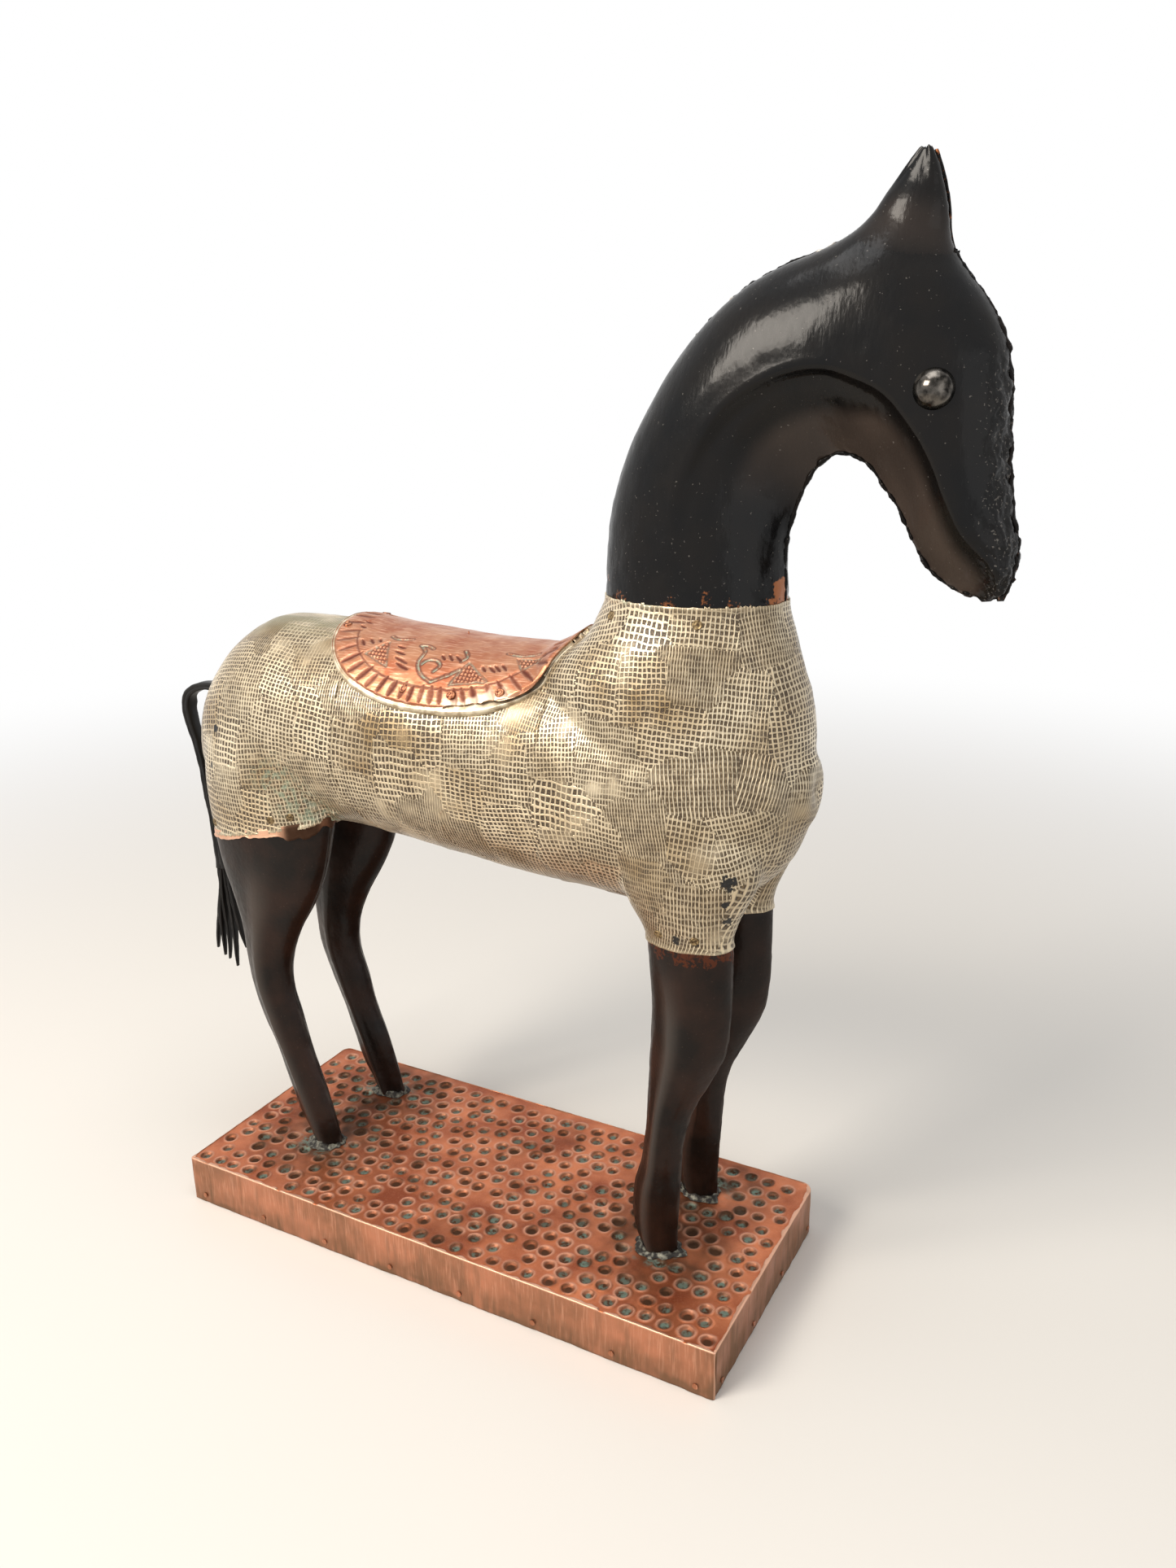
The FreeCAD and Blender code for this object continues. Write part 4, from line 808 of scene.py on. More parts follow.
def makeCladding():
    rng = np.random.RandomState(seedNumber)
    points, faces = makeTrunkSurface()
    which, origin, u, v = patchFrames(points, faces, rng)
    normals = pointNormals(points, faces)
    horse = points - np.array([0, middleY, 0])
    ahead, aside, up = horse[:, 0], np.abs(horse[:, 1]), horse[:, 2]
    # patch heights, eased over a face or two
    level = rng.uniform(-1, 1, len(origin))[which]
    corners = faces.reshape(-1)
    count = np.maximum(np.bincount(corners, minlength=len(points)), 1)
    push = cladding["patchStep"] * (gathered(corners, np.repeat(level, 4)[:, None], len(points))[:, 0] / count)
    push += cladding["dent"] * layeredNoise(points, 34.0, 61, 3) + 0.10 * layeredNoise(points, 7.0, 66, 2)
    # the panels' seams
    seamWave = 5 * noiseAt(points, 30.0, 71) + 1.2 * noiseAt(points, 5.0, 72)
    hip = ahead - cladding["hipSeamX"] - seamWave + 0.35 * (up - 320) * (up < 320)
    shoulder = ahead - cladding["shoulderSeamX"] - seamWave
    lips = smoothStep(9, 0.4, -hip) * (hip < 0) + smoothStep(12, 0.4, shoulder) * (shoulder > 0)
    push += cladding["panelStep"] * lips
    for path, width, height in cladding["folds"]:
        for side in (-1, 1):
            line = np.array(path, float) * [1, side, 1]
            push += height * ridge(distanceToPath(horse, line) + 0.5 * noiseAt(points, 4.0, 75), width)
    sunk = sagAt(ahead - saddleMiddle, aside) * smoothStep(358, 384, up) * smoothStep(444, 422, up)
    smoothPoints = points - normals * sunk[:, None]
    points = points + normals * (push - sunk)[:, None]
    # the sheet's raw edge turns out a little, and is torn
    toRim = rimDistance(points, faces)
    points = points + normals * (ridge(toRim, 2.2) * (0.75 + 0.35 * noiseAt(points, 6.0, 81)))[:, None]
    edge = ridge(toRim, 1.6)
    # share of cross wires in each patch; ribbed cloth, which has few, is finer than the open mesh
    ribs = rng.choice([0.35, 0.6, 0.75, 0.9, 1.0], len(origin))
    inFront = smoothStep(95, 130, origin[:, 0])
    ribs = ribs * (1 - inFront) + rng.choice([0.25, 0.45, 0.7, 0.95], len(origin)) * inFront
    fine = 1 + 0.55 * smoothStep(0.85, 0.4, ribs)
    # wear on the back, stains at the hip and along the edge
    top = smoothStep(8, 34, 44 - aside) * smoothStep(385, 405, up) * (ahead < 60)
    greenGold = 0.75 * top * smoothStep(-0.5, 0.4, layeredNoise(points, (26.0, 6.0, 10.0), 85, 2))
    worn = np.clip(smoothStep(0.35, 1.1, layeredNoise(points, 24.0, 88, 3)) * 0.7 + 0.5 * top, 0, 0.8)
    stain = ridge(distanceToPath(horse * [1, 0, 1], np.array(cladding["hipStain"], float)), cladding["stainWidth"])
    verdigris = 0.75 * stain * (aside > 30) + 0.5 * edge * smoothStep(0.1, 0.6, noiseAt(points, 9.0, 91))
    wear = np.stack([np.clip(worn + 0.6 * edge, 0, 1), np.clip(greenGold, 0, 0.85), np.clip(verdigris, 0, 1)], axis=1)
    tone = rng.uniform(0.35, 1.0, len(origin))[which]
    # places on the cloth, for each face's corners
    away = points[faces] - origin[which][:, None]
    weave = np.stack([np.sum(away * axis[which][:, None], axis=2) for axis in (u, v)], axis=2)
    spacing = np.stack([rng.uniform(0.85, 1.3, len(origin)) * fine, rng.uniform(0.7, 1.15, len(origin))], axis=1)
    weave = weave * spacing[which][:, None] + rng.uniform(0, 50, (len(origin), 2))[which][:, None]
    spots = np.zeros(len(points))
    for x, z, size in cladding["paintSpots"]:
        spots = np.maximum(spots, ridge(np.hypot(ahead - x, (up - z) * 0.7), size) * (horse[:, 1] < -20))
    # one piece for each panel: rear, middle and front on either side
    part = np.where(hip[faces].mean(axis=1) < 0, 0, np.where(shoulder[faces].mean(axis=1) > 0, 2, 1))
    panel = part * 2 + (horse[faces].mean(axis=1)[:, 1] > 0)
    for index, label in enumerate(
            ("rear_right", "rear_left", "middle_right", "middle_left", "front_right", "front_left")):
        chosen = panel == index
        used, local = np.unique(faces[chosen], return_inverse=True)
        piece = addMesh("cladding" + titled(label), points[used], local.reshape(-1, 4), wear[used], outward=False)
        layer = piece.data.uv_layers.new(name="weave")
        layer.data.foreach_set("uv", weave[chosen].reshape(-1).astype(np.float32))
        look = np.stack([np.repeat(tone[chosen], 4), np.repeat(ribs[which][chosen], 4),
                         spots[faces[chosen]].reshape(-1), np.ones(4 * chosen.sum())], axis=1)
        colours = piece.data.attributes.new("patch", "FLOAT_COLOR", "CORNER")
        colours.data.foreach_set("color", look.astype(np.float32).reshape(-1))
        rim = piece.modifiers.new("rim", "SOLIDIFY")
        rim.thickness = cladding["thickness"] * mm
        rim.offset = -1
        rim.use_rim_only = True
        finishPiece(piece, whiteMetal, "embossed_metal", "skin_" + label)
    return points, faces, smoothPoints


def makeCore(points, faces):
    # the carved wood: the cladding's own shape, smaller, closed at cuffs and collar
    core = addMesh("bodyBlank", points - pointNormals(points, faces) * cladding["coreGap"], faces)
    work = bmesh.new()
    work.from_mesh(core.data)
    bmesh.ops.holes_fill(work, edges=[edge for edge in work.edges if edge.is_boundary], sides=0)
    work.to_mesh(core.data)
    work.free()
    piece = bpy.data.objects.new("bodyCore", applied(core, "DECIMATE", ratio=cladding["coreShare"]))
    bpy.context.scene.collection.objects.link(piece)
    finishPiece(piece, pine, "board_wood", "body_core")


trunkPoints, trunkFaces, smoothPoints = makeCladding()
trunkTree = treeOf(trunkPoints, trunkFaces)
smoothTree = treeOf(smoothPoints, trunkFaces)
makeCore(smoothPoints, trunkFaces)
print("cladding made")


# ---- head, neck and legs: halves of dished sheet, from shares of their driving sizes
handleShare = 0.5523      # handle of the curve that stands for a quarter of an ellipse
head = {"rearX": 88.4, "reach": 224.0, "rise": 182.0, "halfWidth": 41.0, "sheet": 1.5, "tuck": 7.0, "tip": 3.2,
        "columns": 34, "rows": 12,
        # the crease from cheek to neck: its lip and hollow, as height, place and width
        "lip": (0.25, 2.0, 3.0), "hollow": (1.2, -6.0, 5.0), "neckLip": 0.45, "neckHollow": 1.2,
        "eye": (0.819, 0.599), "eyeRadius": 10.0, "eyeDepth": 3.0,
        "seamWidth": 1.7, "crestSeam": 1.0, "seamHeight": 1.05, "seamMost": 0.85,
        # crest and throat along and up, half width, place of the crease, flatness under it
        "shares": [(0.000, 0.000, 0.469, 0.000, 1.00, 0.50, 0.0), (0.011, 0.225, 0.467, 0.160, 0.95, 0.50, 0.2),
                   (0.069, 0.456, 0.489, 0.280, 0.90, 0.52, 0.6), (0.185, 0.687, 0.525, 0.374, 0.88, 0.51, 0.9),
                   (0.342, 0.868, 0.565, 0.418, 0.85, 0.46, 1.0), (0.520, 0.955, 0.596, 0.426, 0.83, 0.43, 1.0),
                   (0.676, 0.985, 0.627, 0.415, 0.80, 0.38, 1.0), (0.801, 0.925, 0.659, 0.390, 0.78, 0.38, 1.0),
                   (0.904, 0.786, 0.690, 0.341, 0.73, 0.39, 1.0), (0.949, 0.643, 0.725, 0.286, 0.68, 0.41, 1.0),
                   (0.958, 0.478, 0.766, 0.192, 0.61, 0.46, 1.0), (0.971, 0.324, 0.810, 0.115, 0.51, 0.53, 1.0),
                   (0.998, 0.170, 0.868, 0.066, 0.37, 0.68, 1.0), (0.984, 0.077, 0.917, 0.052, 0.20, 0.72, 0.9)]}
ears = {"root": (0.569, 0.926), "length": 54.0, "height": 48.0, "bulge": 17.0, "sheet": 1.2, "gap": 1.0,
        "spread": 5.5, "flare": 0.05, "hollow": 1.5, "blend": 12.0, "leastBulge": 2.4,
        # rear edge and front edge along and up, bulge, place between gap and spread
        "shares": [(-0.700, -0.62, 1.040, -0.72, 1.30, 0.0), (-0.330, -0.26, 1.010, -0.42, 1.10, 0.0),
                   (0.010, 0.08, 0.985, -0.13, 0.92, 0.03), (0.260, 0.41, 0.960, 0.18, 0.76, 0.1),
                   (0.410, 0.63, 0.930, 0.47, 0.53, 0.4), (0.570, 0.85, 0.860, 0.76, 0.30, 0.8),
                   (0.685, 1.00, 0.770, 1.00, 0.15, 1.0)]}
legSheet = {"thickness": 1.2, "rise": 6.0, "keel": 1.1, "trough": 0.45, "lip": 0.30, "pegGap": 2.4, "pegRise": 7.0,
            "bandThickness": 0.5, "weldReach": 3.4, "weldHeight": 2.8}
# height, back and front in half depths, half width, flatness, share of the tilt
legs = {"hind": {"x": -154.6, "cuffZ": 276.5, "halfDepth": 52.8, "halfWidth": 22.0, "tilt": 12.6, "out": 38.0,
                 "keelAt": 0.5, "cuffAt": 0.975, "shares": [
                     (0.000, 0.237, 0.691, 0.41, 0.35, 0.00), (0.050, 0.120, 0.650, 0.43, 0.35, 0.00),
                     (0.100, -0.010, 0.597, 0.45, 0.35, 0.00), (0.194, -0.160, 0.464, 0.49, 0.35, 0.00),
                     (0.293, -0.294, 0.294, 0.53, 0.35, 0.00), (0.392, -0.483, 0.180, 0.57, 0.35, 0.00),
                     (0.491, -0.620, 0.060, 0.62, 0.32, 0.00), (0.586, -0.660, 0.085, 0.68, 0.28, 0.00),
                     (0.685, -0.700, 0.275, 0.75, 0.20, 0.00), (0.783, -0.805, 0.559, 0.84, 0.10, 0.00),
                     (0.870, -0.910, 0.780, 0.92, 0.05, 0.35), (1.000, -1.000, 1.000, 1.00, 0.00, 1.00)]},
        "fore": {"x": 154.6, "cuffZ": 253.0, "halfDepth": 26.5, "halfWidth": 17.0, "tilt": 0.0, "out": 33.0,
                 "keelAt": 0.40, "cuffAt": 0.958, "shares": [
                     (0.000, -1.150, -0.210, 0.60, 0.35, 0.00), (0.050, -1.300, -0.208, 0.61, 0.35, 0.00),
                     (0.110, -1.370, -0.200, 0.62, 0.35, 0.00), (0.196, -1.320, -0.170, 0.65, 0.40, 0.00),
                     (0.292, -1.130, -0.130, 0.68, 0.45, 0.00), (0.388, -1.040, -0.057, 0.72, 0.45, 0.00),
                     (0.484, -1.000, 0.150, 0.76, 0.45, 0.00), (0.584, -0.960, 0.547, 0.82, 0.40, 0.00),
                     (0.680, -0.925, 0.887, 0.89, 0.35, 0.00), (0.776, -0.900, 1.000, 0.95, 0.25, 0.00),
                     (0.877, -0.920, 1.020, 1.00, 0.10, 0.35), (1.000, -1.000, 1.000, 1.00, 0.00, 1.00)]}}


def quarterCurve(end, foot, out, flat, count):
    # from the seam to the widest point, one curve a row: an ellipse's quarter, or flatter
    widest = foot + out
    mix = flat[:, None]
    poles = [end, (end + out * handleShare) * (1 - mix) + (end + (widest - end) / 3) * mix,
             (widest + (end - foot) * handleShare) * (1 - mix) + (widest + (end - widest) / 3) * mix, widest]
    t = np.linspace(0, 1, count)[None, :, None]
    a, b, c, d = [pole[:, None, :] for pole in poles]
    return a * (1 - t) ** 3 + 3 * b * t * (1 - t) ** 2 + 3 * c * t * t * (1 - t) + d * t ** 3


def halfSections(back, front, width, footShare, backFlat, frontFlat, side, count):
    # rows of points from the back seam over the widest point to the front seam
    foot = back + (front - back) * footShare[:, None]
    out = onLine(0 * width, side * width)
    first = quarterCurve(back, foot, out, backFlat, count)
    second = quarterCurve(front, foot, out, frontFlat, count)[:, ::-1]
    return np.concatenate([first, second[:, 1:]], axis=1)


def headPoint(along, up):
    place = [head["rearX"] + along * head["reach"], 0 * along + middleY, collarZ + up * head["rise"]]
    return np.stack(place, axis=-1)


def headRows():
    rows = easedRows(head["shares"], head["rows"])
    crest = headPoint(rows[:, 0], rows[:, 1])
    throat = headPoint(rows[:, 2], rows[:, 3])
    width = rows[:, 4] * head["halfWidth"]
    # tucked under the cladding at one end, rounded off at the other
    down = np.array([[0, 0, -head["tuck"]]])
    middle = (crest[-1] + throat[-1]) / 2
    onward = unit(middle - (crest[-2] + throat[-2]) / 2)
    t = np.array([[0.4], [0.7], [0.9], [0.985]])
    shrink = np.sqrt(1 - t * t)
    shift = middle + onward * head["tip"] * t
    crest = np.concatenate([crest[:1] + down, crest, shift + (crest[-1] - middle) * shrink])
    throat = np.concatenate([throat[:1] + down, throat, shift + (throat[-1] - middle) * shrink])
    width = np.concatenate([width[:1], width, width[-1] * shrink[:, 0]])
    crease, flat = np.pad(rows[:, 5:], ((1, 4), (0, 0)), "edge").T
    return crest, throat, width, crease, flat


def makeHeadHalf(side):
    # the half's grid runs from throat to crest on the right side, from crest to throat on the left
    crest, throat, width, crease, flat = headRows()
    half = head["columns"]
    grid = halfSections(throat, crest, width, crease, flat, 0 * flat, side, half)
    rows, columns = grid.shape[:2]
    grid[:, [0, -1], 1] += side * 0.5
    steps = np.linalg.norm(np.diff(grid, axis=1), axis=2)
    run = np.concatenate([np.zeros((rows, 1)), np.cumsum(steps, axis=1)], axis=1)
    overCrease = run - run[:, [half - 1]]
    grid, run, overCrease = [values[:, ::-side] for values in (grid, run, overCrease)]
    normals = gridNormals(grid)
    points = grid.reshape(-1, 3)
    along = np.repeat(np.linspace(0, 1, rows), columns)
    toThroat = run.reshape(-1)
    toCrest = (run.max(axis=1, keepdims=True) - run).reshape(-1)
    overCrease = overCrease.reshape(-1)
    creased = np.repeat(flat, columns) * smoothStep(1.0, 0.93, along)
    seed = 101 if side < 0 else 131
    # the face is pitted, the neck smooth
    face = smoothStep(0.60, 0.70, along) * (1 - smoothStep(14, 34, toCrest))
    nearCollar = 1 - smoothStep(0.02, 0.16, along)
    onNeck = smoothStep(0.46, 0.36, along)
    push = 0.45 * layeredNoise(points, 46.0, seed, 2)
    height, place, wide = head["lip"]
    lip = (height + head["neckLip"] * onNeck) * ridge(overCrease - place, wide)
    height, place, wide = head["hollow"]
    lip = lip - (height + head["neckHollow"] * onNeck) * ridge(overCrease - place, wide)
    push += creased * (1 - 0.85 * smoothStep(0.42, 0.62, along)) * lip
    push += (0.10 + 1.0 * face + 0.35 * nearCollar) * layeredNoise(points, 6.0, seed + 5, 3)
    push += 0.8 * face * np.minimum(layeredNoise(points, 2.8, seed + 7, 2), 0.3)
    push += 0.10 * layeredNoise(points, (3.0, 9.0, 9.0), seed + 9, 2)
    toSeam = np.minimum(toCrest, toThroat)
    seamLip = ridge(toSeam, 1.6)
    push += seamLip * (0.25 + 0.35 * noiseAt(points, 4.0, seed + 12))
    push[:columns] -= 0.8
    grid = grid + normals * push.reshape(rows, columns, 1)
    grid[:, :, 0] = np.minimum(grid[:, :, 0], frontLimit)
    # bare copper along the seam and the collar
    collarEnds = (1 - smoothStep(0.035, 0.06, along)) * smoothStep(-0.1, 0.5, noiseAt(points, 9.0, seed + 15))
    collarLine = (1 - smoothStep(0.034, 0.046, along)) * smoothStep(0.0, 0.5, noiseAt(points, 6.0, seed + 16))
    behindNeck = (1 - smoothStep(4, 12, toCrest)) * (1 - smoothStep(0.045, 0.065, along))
    behindNeck = behindNeck * smoothStep(-0.4, 0.4, noiseAt(points, 5.0, seed + 17))
    chips = 0.30 * seamLip + 0.55 * collarEnds * (1 - smoothStep(10, 34, toSeam)) + 0.16 * face
    chips += 0.10 * nearCollar + 0.40 * behindNeck + 0.42 * collarLine
    # the band under the crease stays black, wide on the neck, narrow on the jaw; below it a painted reflection of the
    # floor lightens the underside to brown-grey
    black = 4 + 16 * smoothStep(0.62, 0.36, along)
    under = creased * smoothStep(0, 14, -overCrease - black) * smoothStep(0.10, 0.28, along)
    under = under * (0.8 + 0.25 * noiseAt(points, 16.0, seed + 18))
    pitted = np.clip(0.15 + 1.2 * face + 0.3 * nearCollar, 0, 1.4)
    return grid, np.stack([chips, pitted, np.clip(under, 0, 1)], axis=1)


def makeHeadSeam(shellGrid):
    # braze run along the joint of the halves: a ragged bead, brighter where it was filed
    throat, crest = [shellGrid[1:, column] * [1, 0, 1] + [0, middleY, 0] for column in (0, -1)]
    path, run = evenly(np.concatenate([throat, crest[::-1]]), 0.9)
    ahead = unit(np.gradient(path, axis=0))
    out = np.stack([ahead[:, 2], 0 * run, -ahead[:, 0]], axis=1)
    space = onLine(run)
    swell = 1 + 0.45 * layeredNoise(space, 3.2, 151, 3)
    later = run > run[-1] / 2
    onCrest = smoothStep(collarZ + 40, collarZ + 90, path[:, 2]) * later
    onCrest = onCrest * smoothStep(head["rearX"] + 150, head["rearX"] + 110, path[:, 0])
    rings = []
    for part in range(10):
        angle = 2 * math.pi * part / 10
        lump = 0.18 * noiseAt(onLine(run, 3 * part), 2.0, 155)
        reach = head["seamHeight"] * math.cos(angle) * swell - 0.45 + lump * math.cos(angle)
        ring = path + out * np.minimum(reach, head["seamMost"])[:, None]
        ring[:, 1] += (head["seamWidth"] + head["crestSeam"] * onCrest) * math.sin(angle) * (swell + lump)
        rings.append(ring)
    rings = np.stack(rings, axis=1)
    rings[:, :, 0] = np.minimum(rings[:, :, 0], frontLimit)
    # filed bare on the crest between collar and ears, its pale colour also a painted highlight there; painted over
    # elsewhere
    bright = np.repeat(0.1 + 0.20 * later + 0.24 * onCrest + 0.24 * noiseAt(space, 9.0, 158), 10)
    seam = tubePiece("headSeam", rings, onLine(bright, 0.5))
    finishPiece(seam, seamPaint, "braze", "head_seam")


def nearestOn(tree, point):
    # signed distance to a surface, and the way out of it
    place, facing, face, gap = tree.find_nearest(Vector(point))
    away = Vector(point) - place
    side = 1.0 if away.dot(facing) >= 0 else -1.0
    out = away.normalized() * side if gap > 0.05 else facing
    return side * gap, np.array(out)


def blended(grid, ownTree, otherTree, radius):
    # moves a surface out to a smooth joint with another one; what lies inside the other stays hidden there
    out = grid.reshape(-1, 3).copy()
    for index, start in enumerate(out):
        if otherTree.find_nearest(Vector(start), radius * 1.2)[0] is None:
            continue
        depth = -nearestOn(otherTree, start)[0]
        if depth > 6 or depth < -radius:
            continue
        target = -0.5 * smoothStep(0.3, 4, depth)
        point = start.copy()
        for turn in range(4):
            a, wayA = nearestOn(ownTree, point)
            b, wayB = nearestOn(otherTree, point)
            mix = max(radius - abs(a - b), 0) / radius
            level = min(a, b) - mix * mix * radius / 4
            share = 0.5 * mix if a < b else 1 - 0.5 * mix
            way = wayA * (1 - share) + wayB * share
            point = point - way * (level - target) / max(way @ way, 0.25)
        hidden = smoothStep(2.5, 6, depth)
        out[index] = point * (1 - hidden) + start * hidden
    return out.reshape(grid.shape)


def gridTree(grid):
    return treeOf(grid.reshape(-1, 3), gridFaces(grid.shape[0], grid.shape[1], False, 0, True))


def makeEar(side):
    rows = easedRows(ears["shares"], 8)
    root = headPoint(*np.array(ears["root"]))
    away = side * (ears["gap"] + rows[:, 5] * (ears["spread"] - ears["gap"]))
    rear, front = [root + np.stack([rows[:, at] * ears["length"], away, rows[:, at + 1] * ears["height"]], axis=1)
                   for at in (0, 2)]
    up = np.linspace(0, 1, len(rows))
    bulge = np.maximum(rows[:, 4] * ears["bulge"], ears["leastBulge"])
    bulge = bulge * (1 + ears["flare"] * ridge(up - 0.15, 0.16))
    grid = halfSections(rear, front, bulge, 0 * up + 0.5, 0 * up, 0 * up, side, 22)[:, ::side]
    count = grid.shape[1]
    normals = gridNormals(grid)
    points = grid.reshape(-1, 3)
    share = np.tile(np.linspace(0, 1, count)[::side], len(rows))
    height = np.repeat(up, count)
    seed = 171 if side < 0 else 181
    push = 0.25 * layeredNoise(points, 12.0, seed, 3)
    hollow = smoothStep(0.62, 0.80, height) * smoothStep(0.03, 0.2, share) * (1 - smoothStep(0.5, 0.75, share))
    push -= ears["hollow"] * hollow
    push += ridge(np.minimum(share, 1 - share), 0.03) * 0.35 * noiseAt(points, 3.0, seed + 4)
    grid = grid + normals * push.reshape(len(rows), count, 1)
    tipWave = np.abs(1.2 * noiseAt(onLine(np.arange(count)), 5.0, seed + 6))
    grid[-1, :, 2] -= 0.3 + tipWave
    grid[-2, :, 2] -= 0.15 + 0.5 * tipWave
    # bare along the front edge and at the tip; a painted sheen of lighter brown on the swell
    bare = 0.46 * ridge(1 - share, 0.05) * smoothStep(0.3, 0.5, height) + 0.42 * smoothStep(0.93, 1.0, height)
    rubbedAndSheen = 0.3 * smoothStep(0.30, 0.5, height) * (1 - smoothStep(0.55, 0.72, height)) * smoothStep(0.1, 0.4, share)
    return grid, onLine(np.clip(bare, 0, 0.8), 0.3, np.clip(rubbedAndSheen, 0, 1))


def lathe(profile, count, centre, outward, wave=0.0, seed=1):
    # turns a list of (radius, height) round the outward direction
    outward = unit(np.asarray(outward, float))
    side = unit(np.cross(outward, [0.13, 0.21, 0.97] if abs(outward[2]) < 0.9 else [1.0, 0.0, 0.0]))
    other = np.cross(outward, side)
    angle = np.linspace(0, 2 * math.pi, count, endpoint=False)[:, None]
    rings = []
    for radius, height in profile:
        ring = centre + outward * height + radius * (np.cos(angle) * side + np.sin(angle) * other)
        rings.append(ring + outward * (wave * noiseAt(ring, 2.0, seed))[:, None])
    return np.array(rings)


def makeEye(side, name, headGrid):
    # a domed stud, seated on the head's own surface
    points = headGrid.reshape(-1, 3)
    place = headPoint(*np.array(head["eye"]))
    near = np.linalg.norm((points - place)[:, [0, 2]], axis=1) < 3.5
    near &= (points[:, 1] - middleY) * side > 10
    seat = np.array([place[0], points[near][:, 1].mean(), place[2]])
    around = points[np.linalg.norm(points - seat, axis=1) < 12]
    outward = np.linalg.svd(around - around.mean(axis=0))[2][-1]
    outward = outward * np.sign(outward[1] * side)
    radius, depth = head["eyeRadius"], head["eyeDepth"]
    profile = [(0.01, radius - depth)]
    for step in range(1, 13):
        angle = math.radians(72.5 * step / 12)
        profile.append((radius * math.sin(angle), radius * math.cos(angle) - depth))
    profile += [(9.9, -0.8), (9.6, -3.0)]
    eye = gridPiece("eye" + titled(name), lathe(profile, 48, seat, outward, 0.05, 191), flip=True)
    finishPiece(eye, studMetal, "steel", "eye_" + name)


def makeHeadSide(side, name):
    # the half shell with its ear, drawn together where they join
    shellGrid, shellMarks = makeHeadHalf(side)
    earGrid, earMarks = makeEar(side)
    shellTree = gridTree(shellGrid)
    earTree = gridTree(earGrid)
    shellGrid = blended(shellGrid, shellTree, earTree, ears["blend"])
    earGrid = blended(earGrid, earTree, shellTree, ears["blend"])
    shell = sheetPiece("head" + titled(name), shellGrid, head["sheet"], shellMarks)
    finishPiece(shell, headPaint, "black_paint", "head_shell_" + name)
    ear = sheetPiece("ear" + titled(name), earGrid, ears["sheet"], earMarks)
    finishPiece(ear, headPaint, "black_paint", "ear_" + name)
    makeEye(side, name, shellGrid)
    return shellGrid


makeHeadSide(1, "left")
makeHeadSeam(makeHeadSide(-1, "right"))
print("head made")


def legLines(leg, side, rows, inset=0.0):
    # back and front line of a leg, and its half width, all drawn in by the inset
    z = boardTop + rows[:, 0] * (leg["cuffZ"] - boardTop)
    angle = np.radians(leg["tilt"] * rows[:, 5])
    slope = np.stack([np.cos(angle), 0 * angle, np.sin(angle)], axis=1)
    middle = np.stack([leg["x"] + 0 * z, middleY + side * leg["out"] + 0 * z, z], axis=1)
    back = middle + slope * (rows[:, 1] * leg["halfDepth"] + inset)[:, None]
    front = middle + slope * (rows[:, 2] * leg["halfDepth"] - inset)[:, None]
    return back, front, rows[:, 3] * leg["halfWidth"] - inset


def makeLegHalf(leg, side, half, label):
    rows = easedRows(leg["shares"], 8)
    back, front, width = legLines(leg, side, rows)
    # the top runs on inside the cladding
    rise = np.array([[0, 0, legSheet["rise"]]])
    back = np.concatenate([back, back[-1:] + rise])
    front = np.concatenate([front, front[-1:] + rise])
    width = np.append(width, width[-1] - 0.4)
    flat = np.append(rows[:, 4], rows[-1, 4])
    grid = halfSections(back, front, width, 0 * width + 0.5, flat, flat, half, 20)
    rowCount, count = grid.shape[:2]
    grid[:, [0, -1], 1] += half * 0.25
    grid = grid[:, ::half]
    normals = gridNormals(grid)
    points = grid.reshape(-1, 3)
    share = np.tile(np.linspace(0, 1, count)[::half], rowCount)
    up = np.repeat(np.append(rows[:, 0], 1.03), count)
    seed = int(200 + 7 * half + 31 * side + leg["x"] / 10)
    push = 0.35 * layeredNoise(points, 26.0, seed, 3) + 0.10 * layeredNoise(points, 4.0, seed + 3, 2)
    # a soft keel down the middle of each plate, a turned-out lip along its edges
    keel = share - leg["keelAt"]
    form = legSheet["keel"] * ridge(keel, 0.06) - legSheet["trough"] * ridge(np.abs(keel) - 0.18, 0.09)
    push += form * smoothStep(1.0, 0.82, up)
    toEdge = np.minimum(share, 1 - share) * 2 * np.repeat(np.linalg.norm(front - back, axis=1), count) * 0.6
    lip = ridge(toEdge, 1.5)
    push += lip * (legSheet["lip"] + 0.25 * noiseAt(points, 5.0, seed + 6))
    push = np.maximum(push, -0.45) - 0.7 * smoothStep(0.985, 1.0, up)
    grid = grid + normals * push.reshape(rowCount, count, 1)
    grid[:, :, 2] = np.maximum(grid[:, :, 2], boardTop + 0.1)
    # rust under the cuff, most of it on the near fore leg; the joint gets a pale line down the front
    cuffEdge = leg["cuffAt"] - 0.016 * layeredNoise(points, (5.0, 5.0, 14.0), seed + 8, 3)
    mottle = 0.56 + 0.20 * noiseAt(points, 3.0, seed + 11) if leg is legs["fore"] and side < 0 else 0.15
    cuff = smoothStep(cuffEdge - 0.008, cuffEdge + 0.008, up) * mottle
    joint = ridge(toEdge, 1.3) * (share > 0.5) * smoothStep(-0.6, 0.3, noiseAt(points, 7.0, seed + 10))
    chips = 0.42 * lip * smoothStep(-0.5, 0.4, noiseAt(points, 12.0, seed + 9)) + cuff
    chips = chips + 0.2 * (1 - smoothStep(0.0, 0.05, up))
    # a painted highlight down each keel, stronger on the outer plates, plus the pale line at the joint
    rubbedAndSheen = ridge(keel, 0.075) * smoothStep(0.97, 0.75, up) * (0.6 if half == side else 0.2) + 0.8 * joint
    marks = onLine(chips, 0.35, np.clip(rubbedAndSheen, 0, 1))
    plate = sheetPiece("leg" + titled(label), grid, legSheet["thickness"], marks)
    finishPiece(plate, legPaint, "black_paint", "leg_shell_" + label)


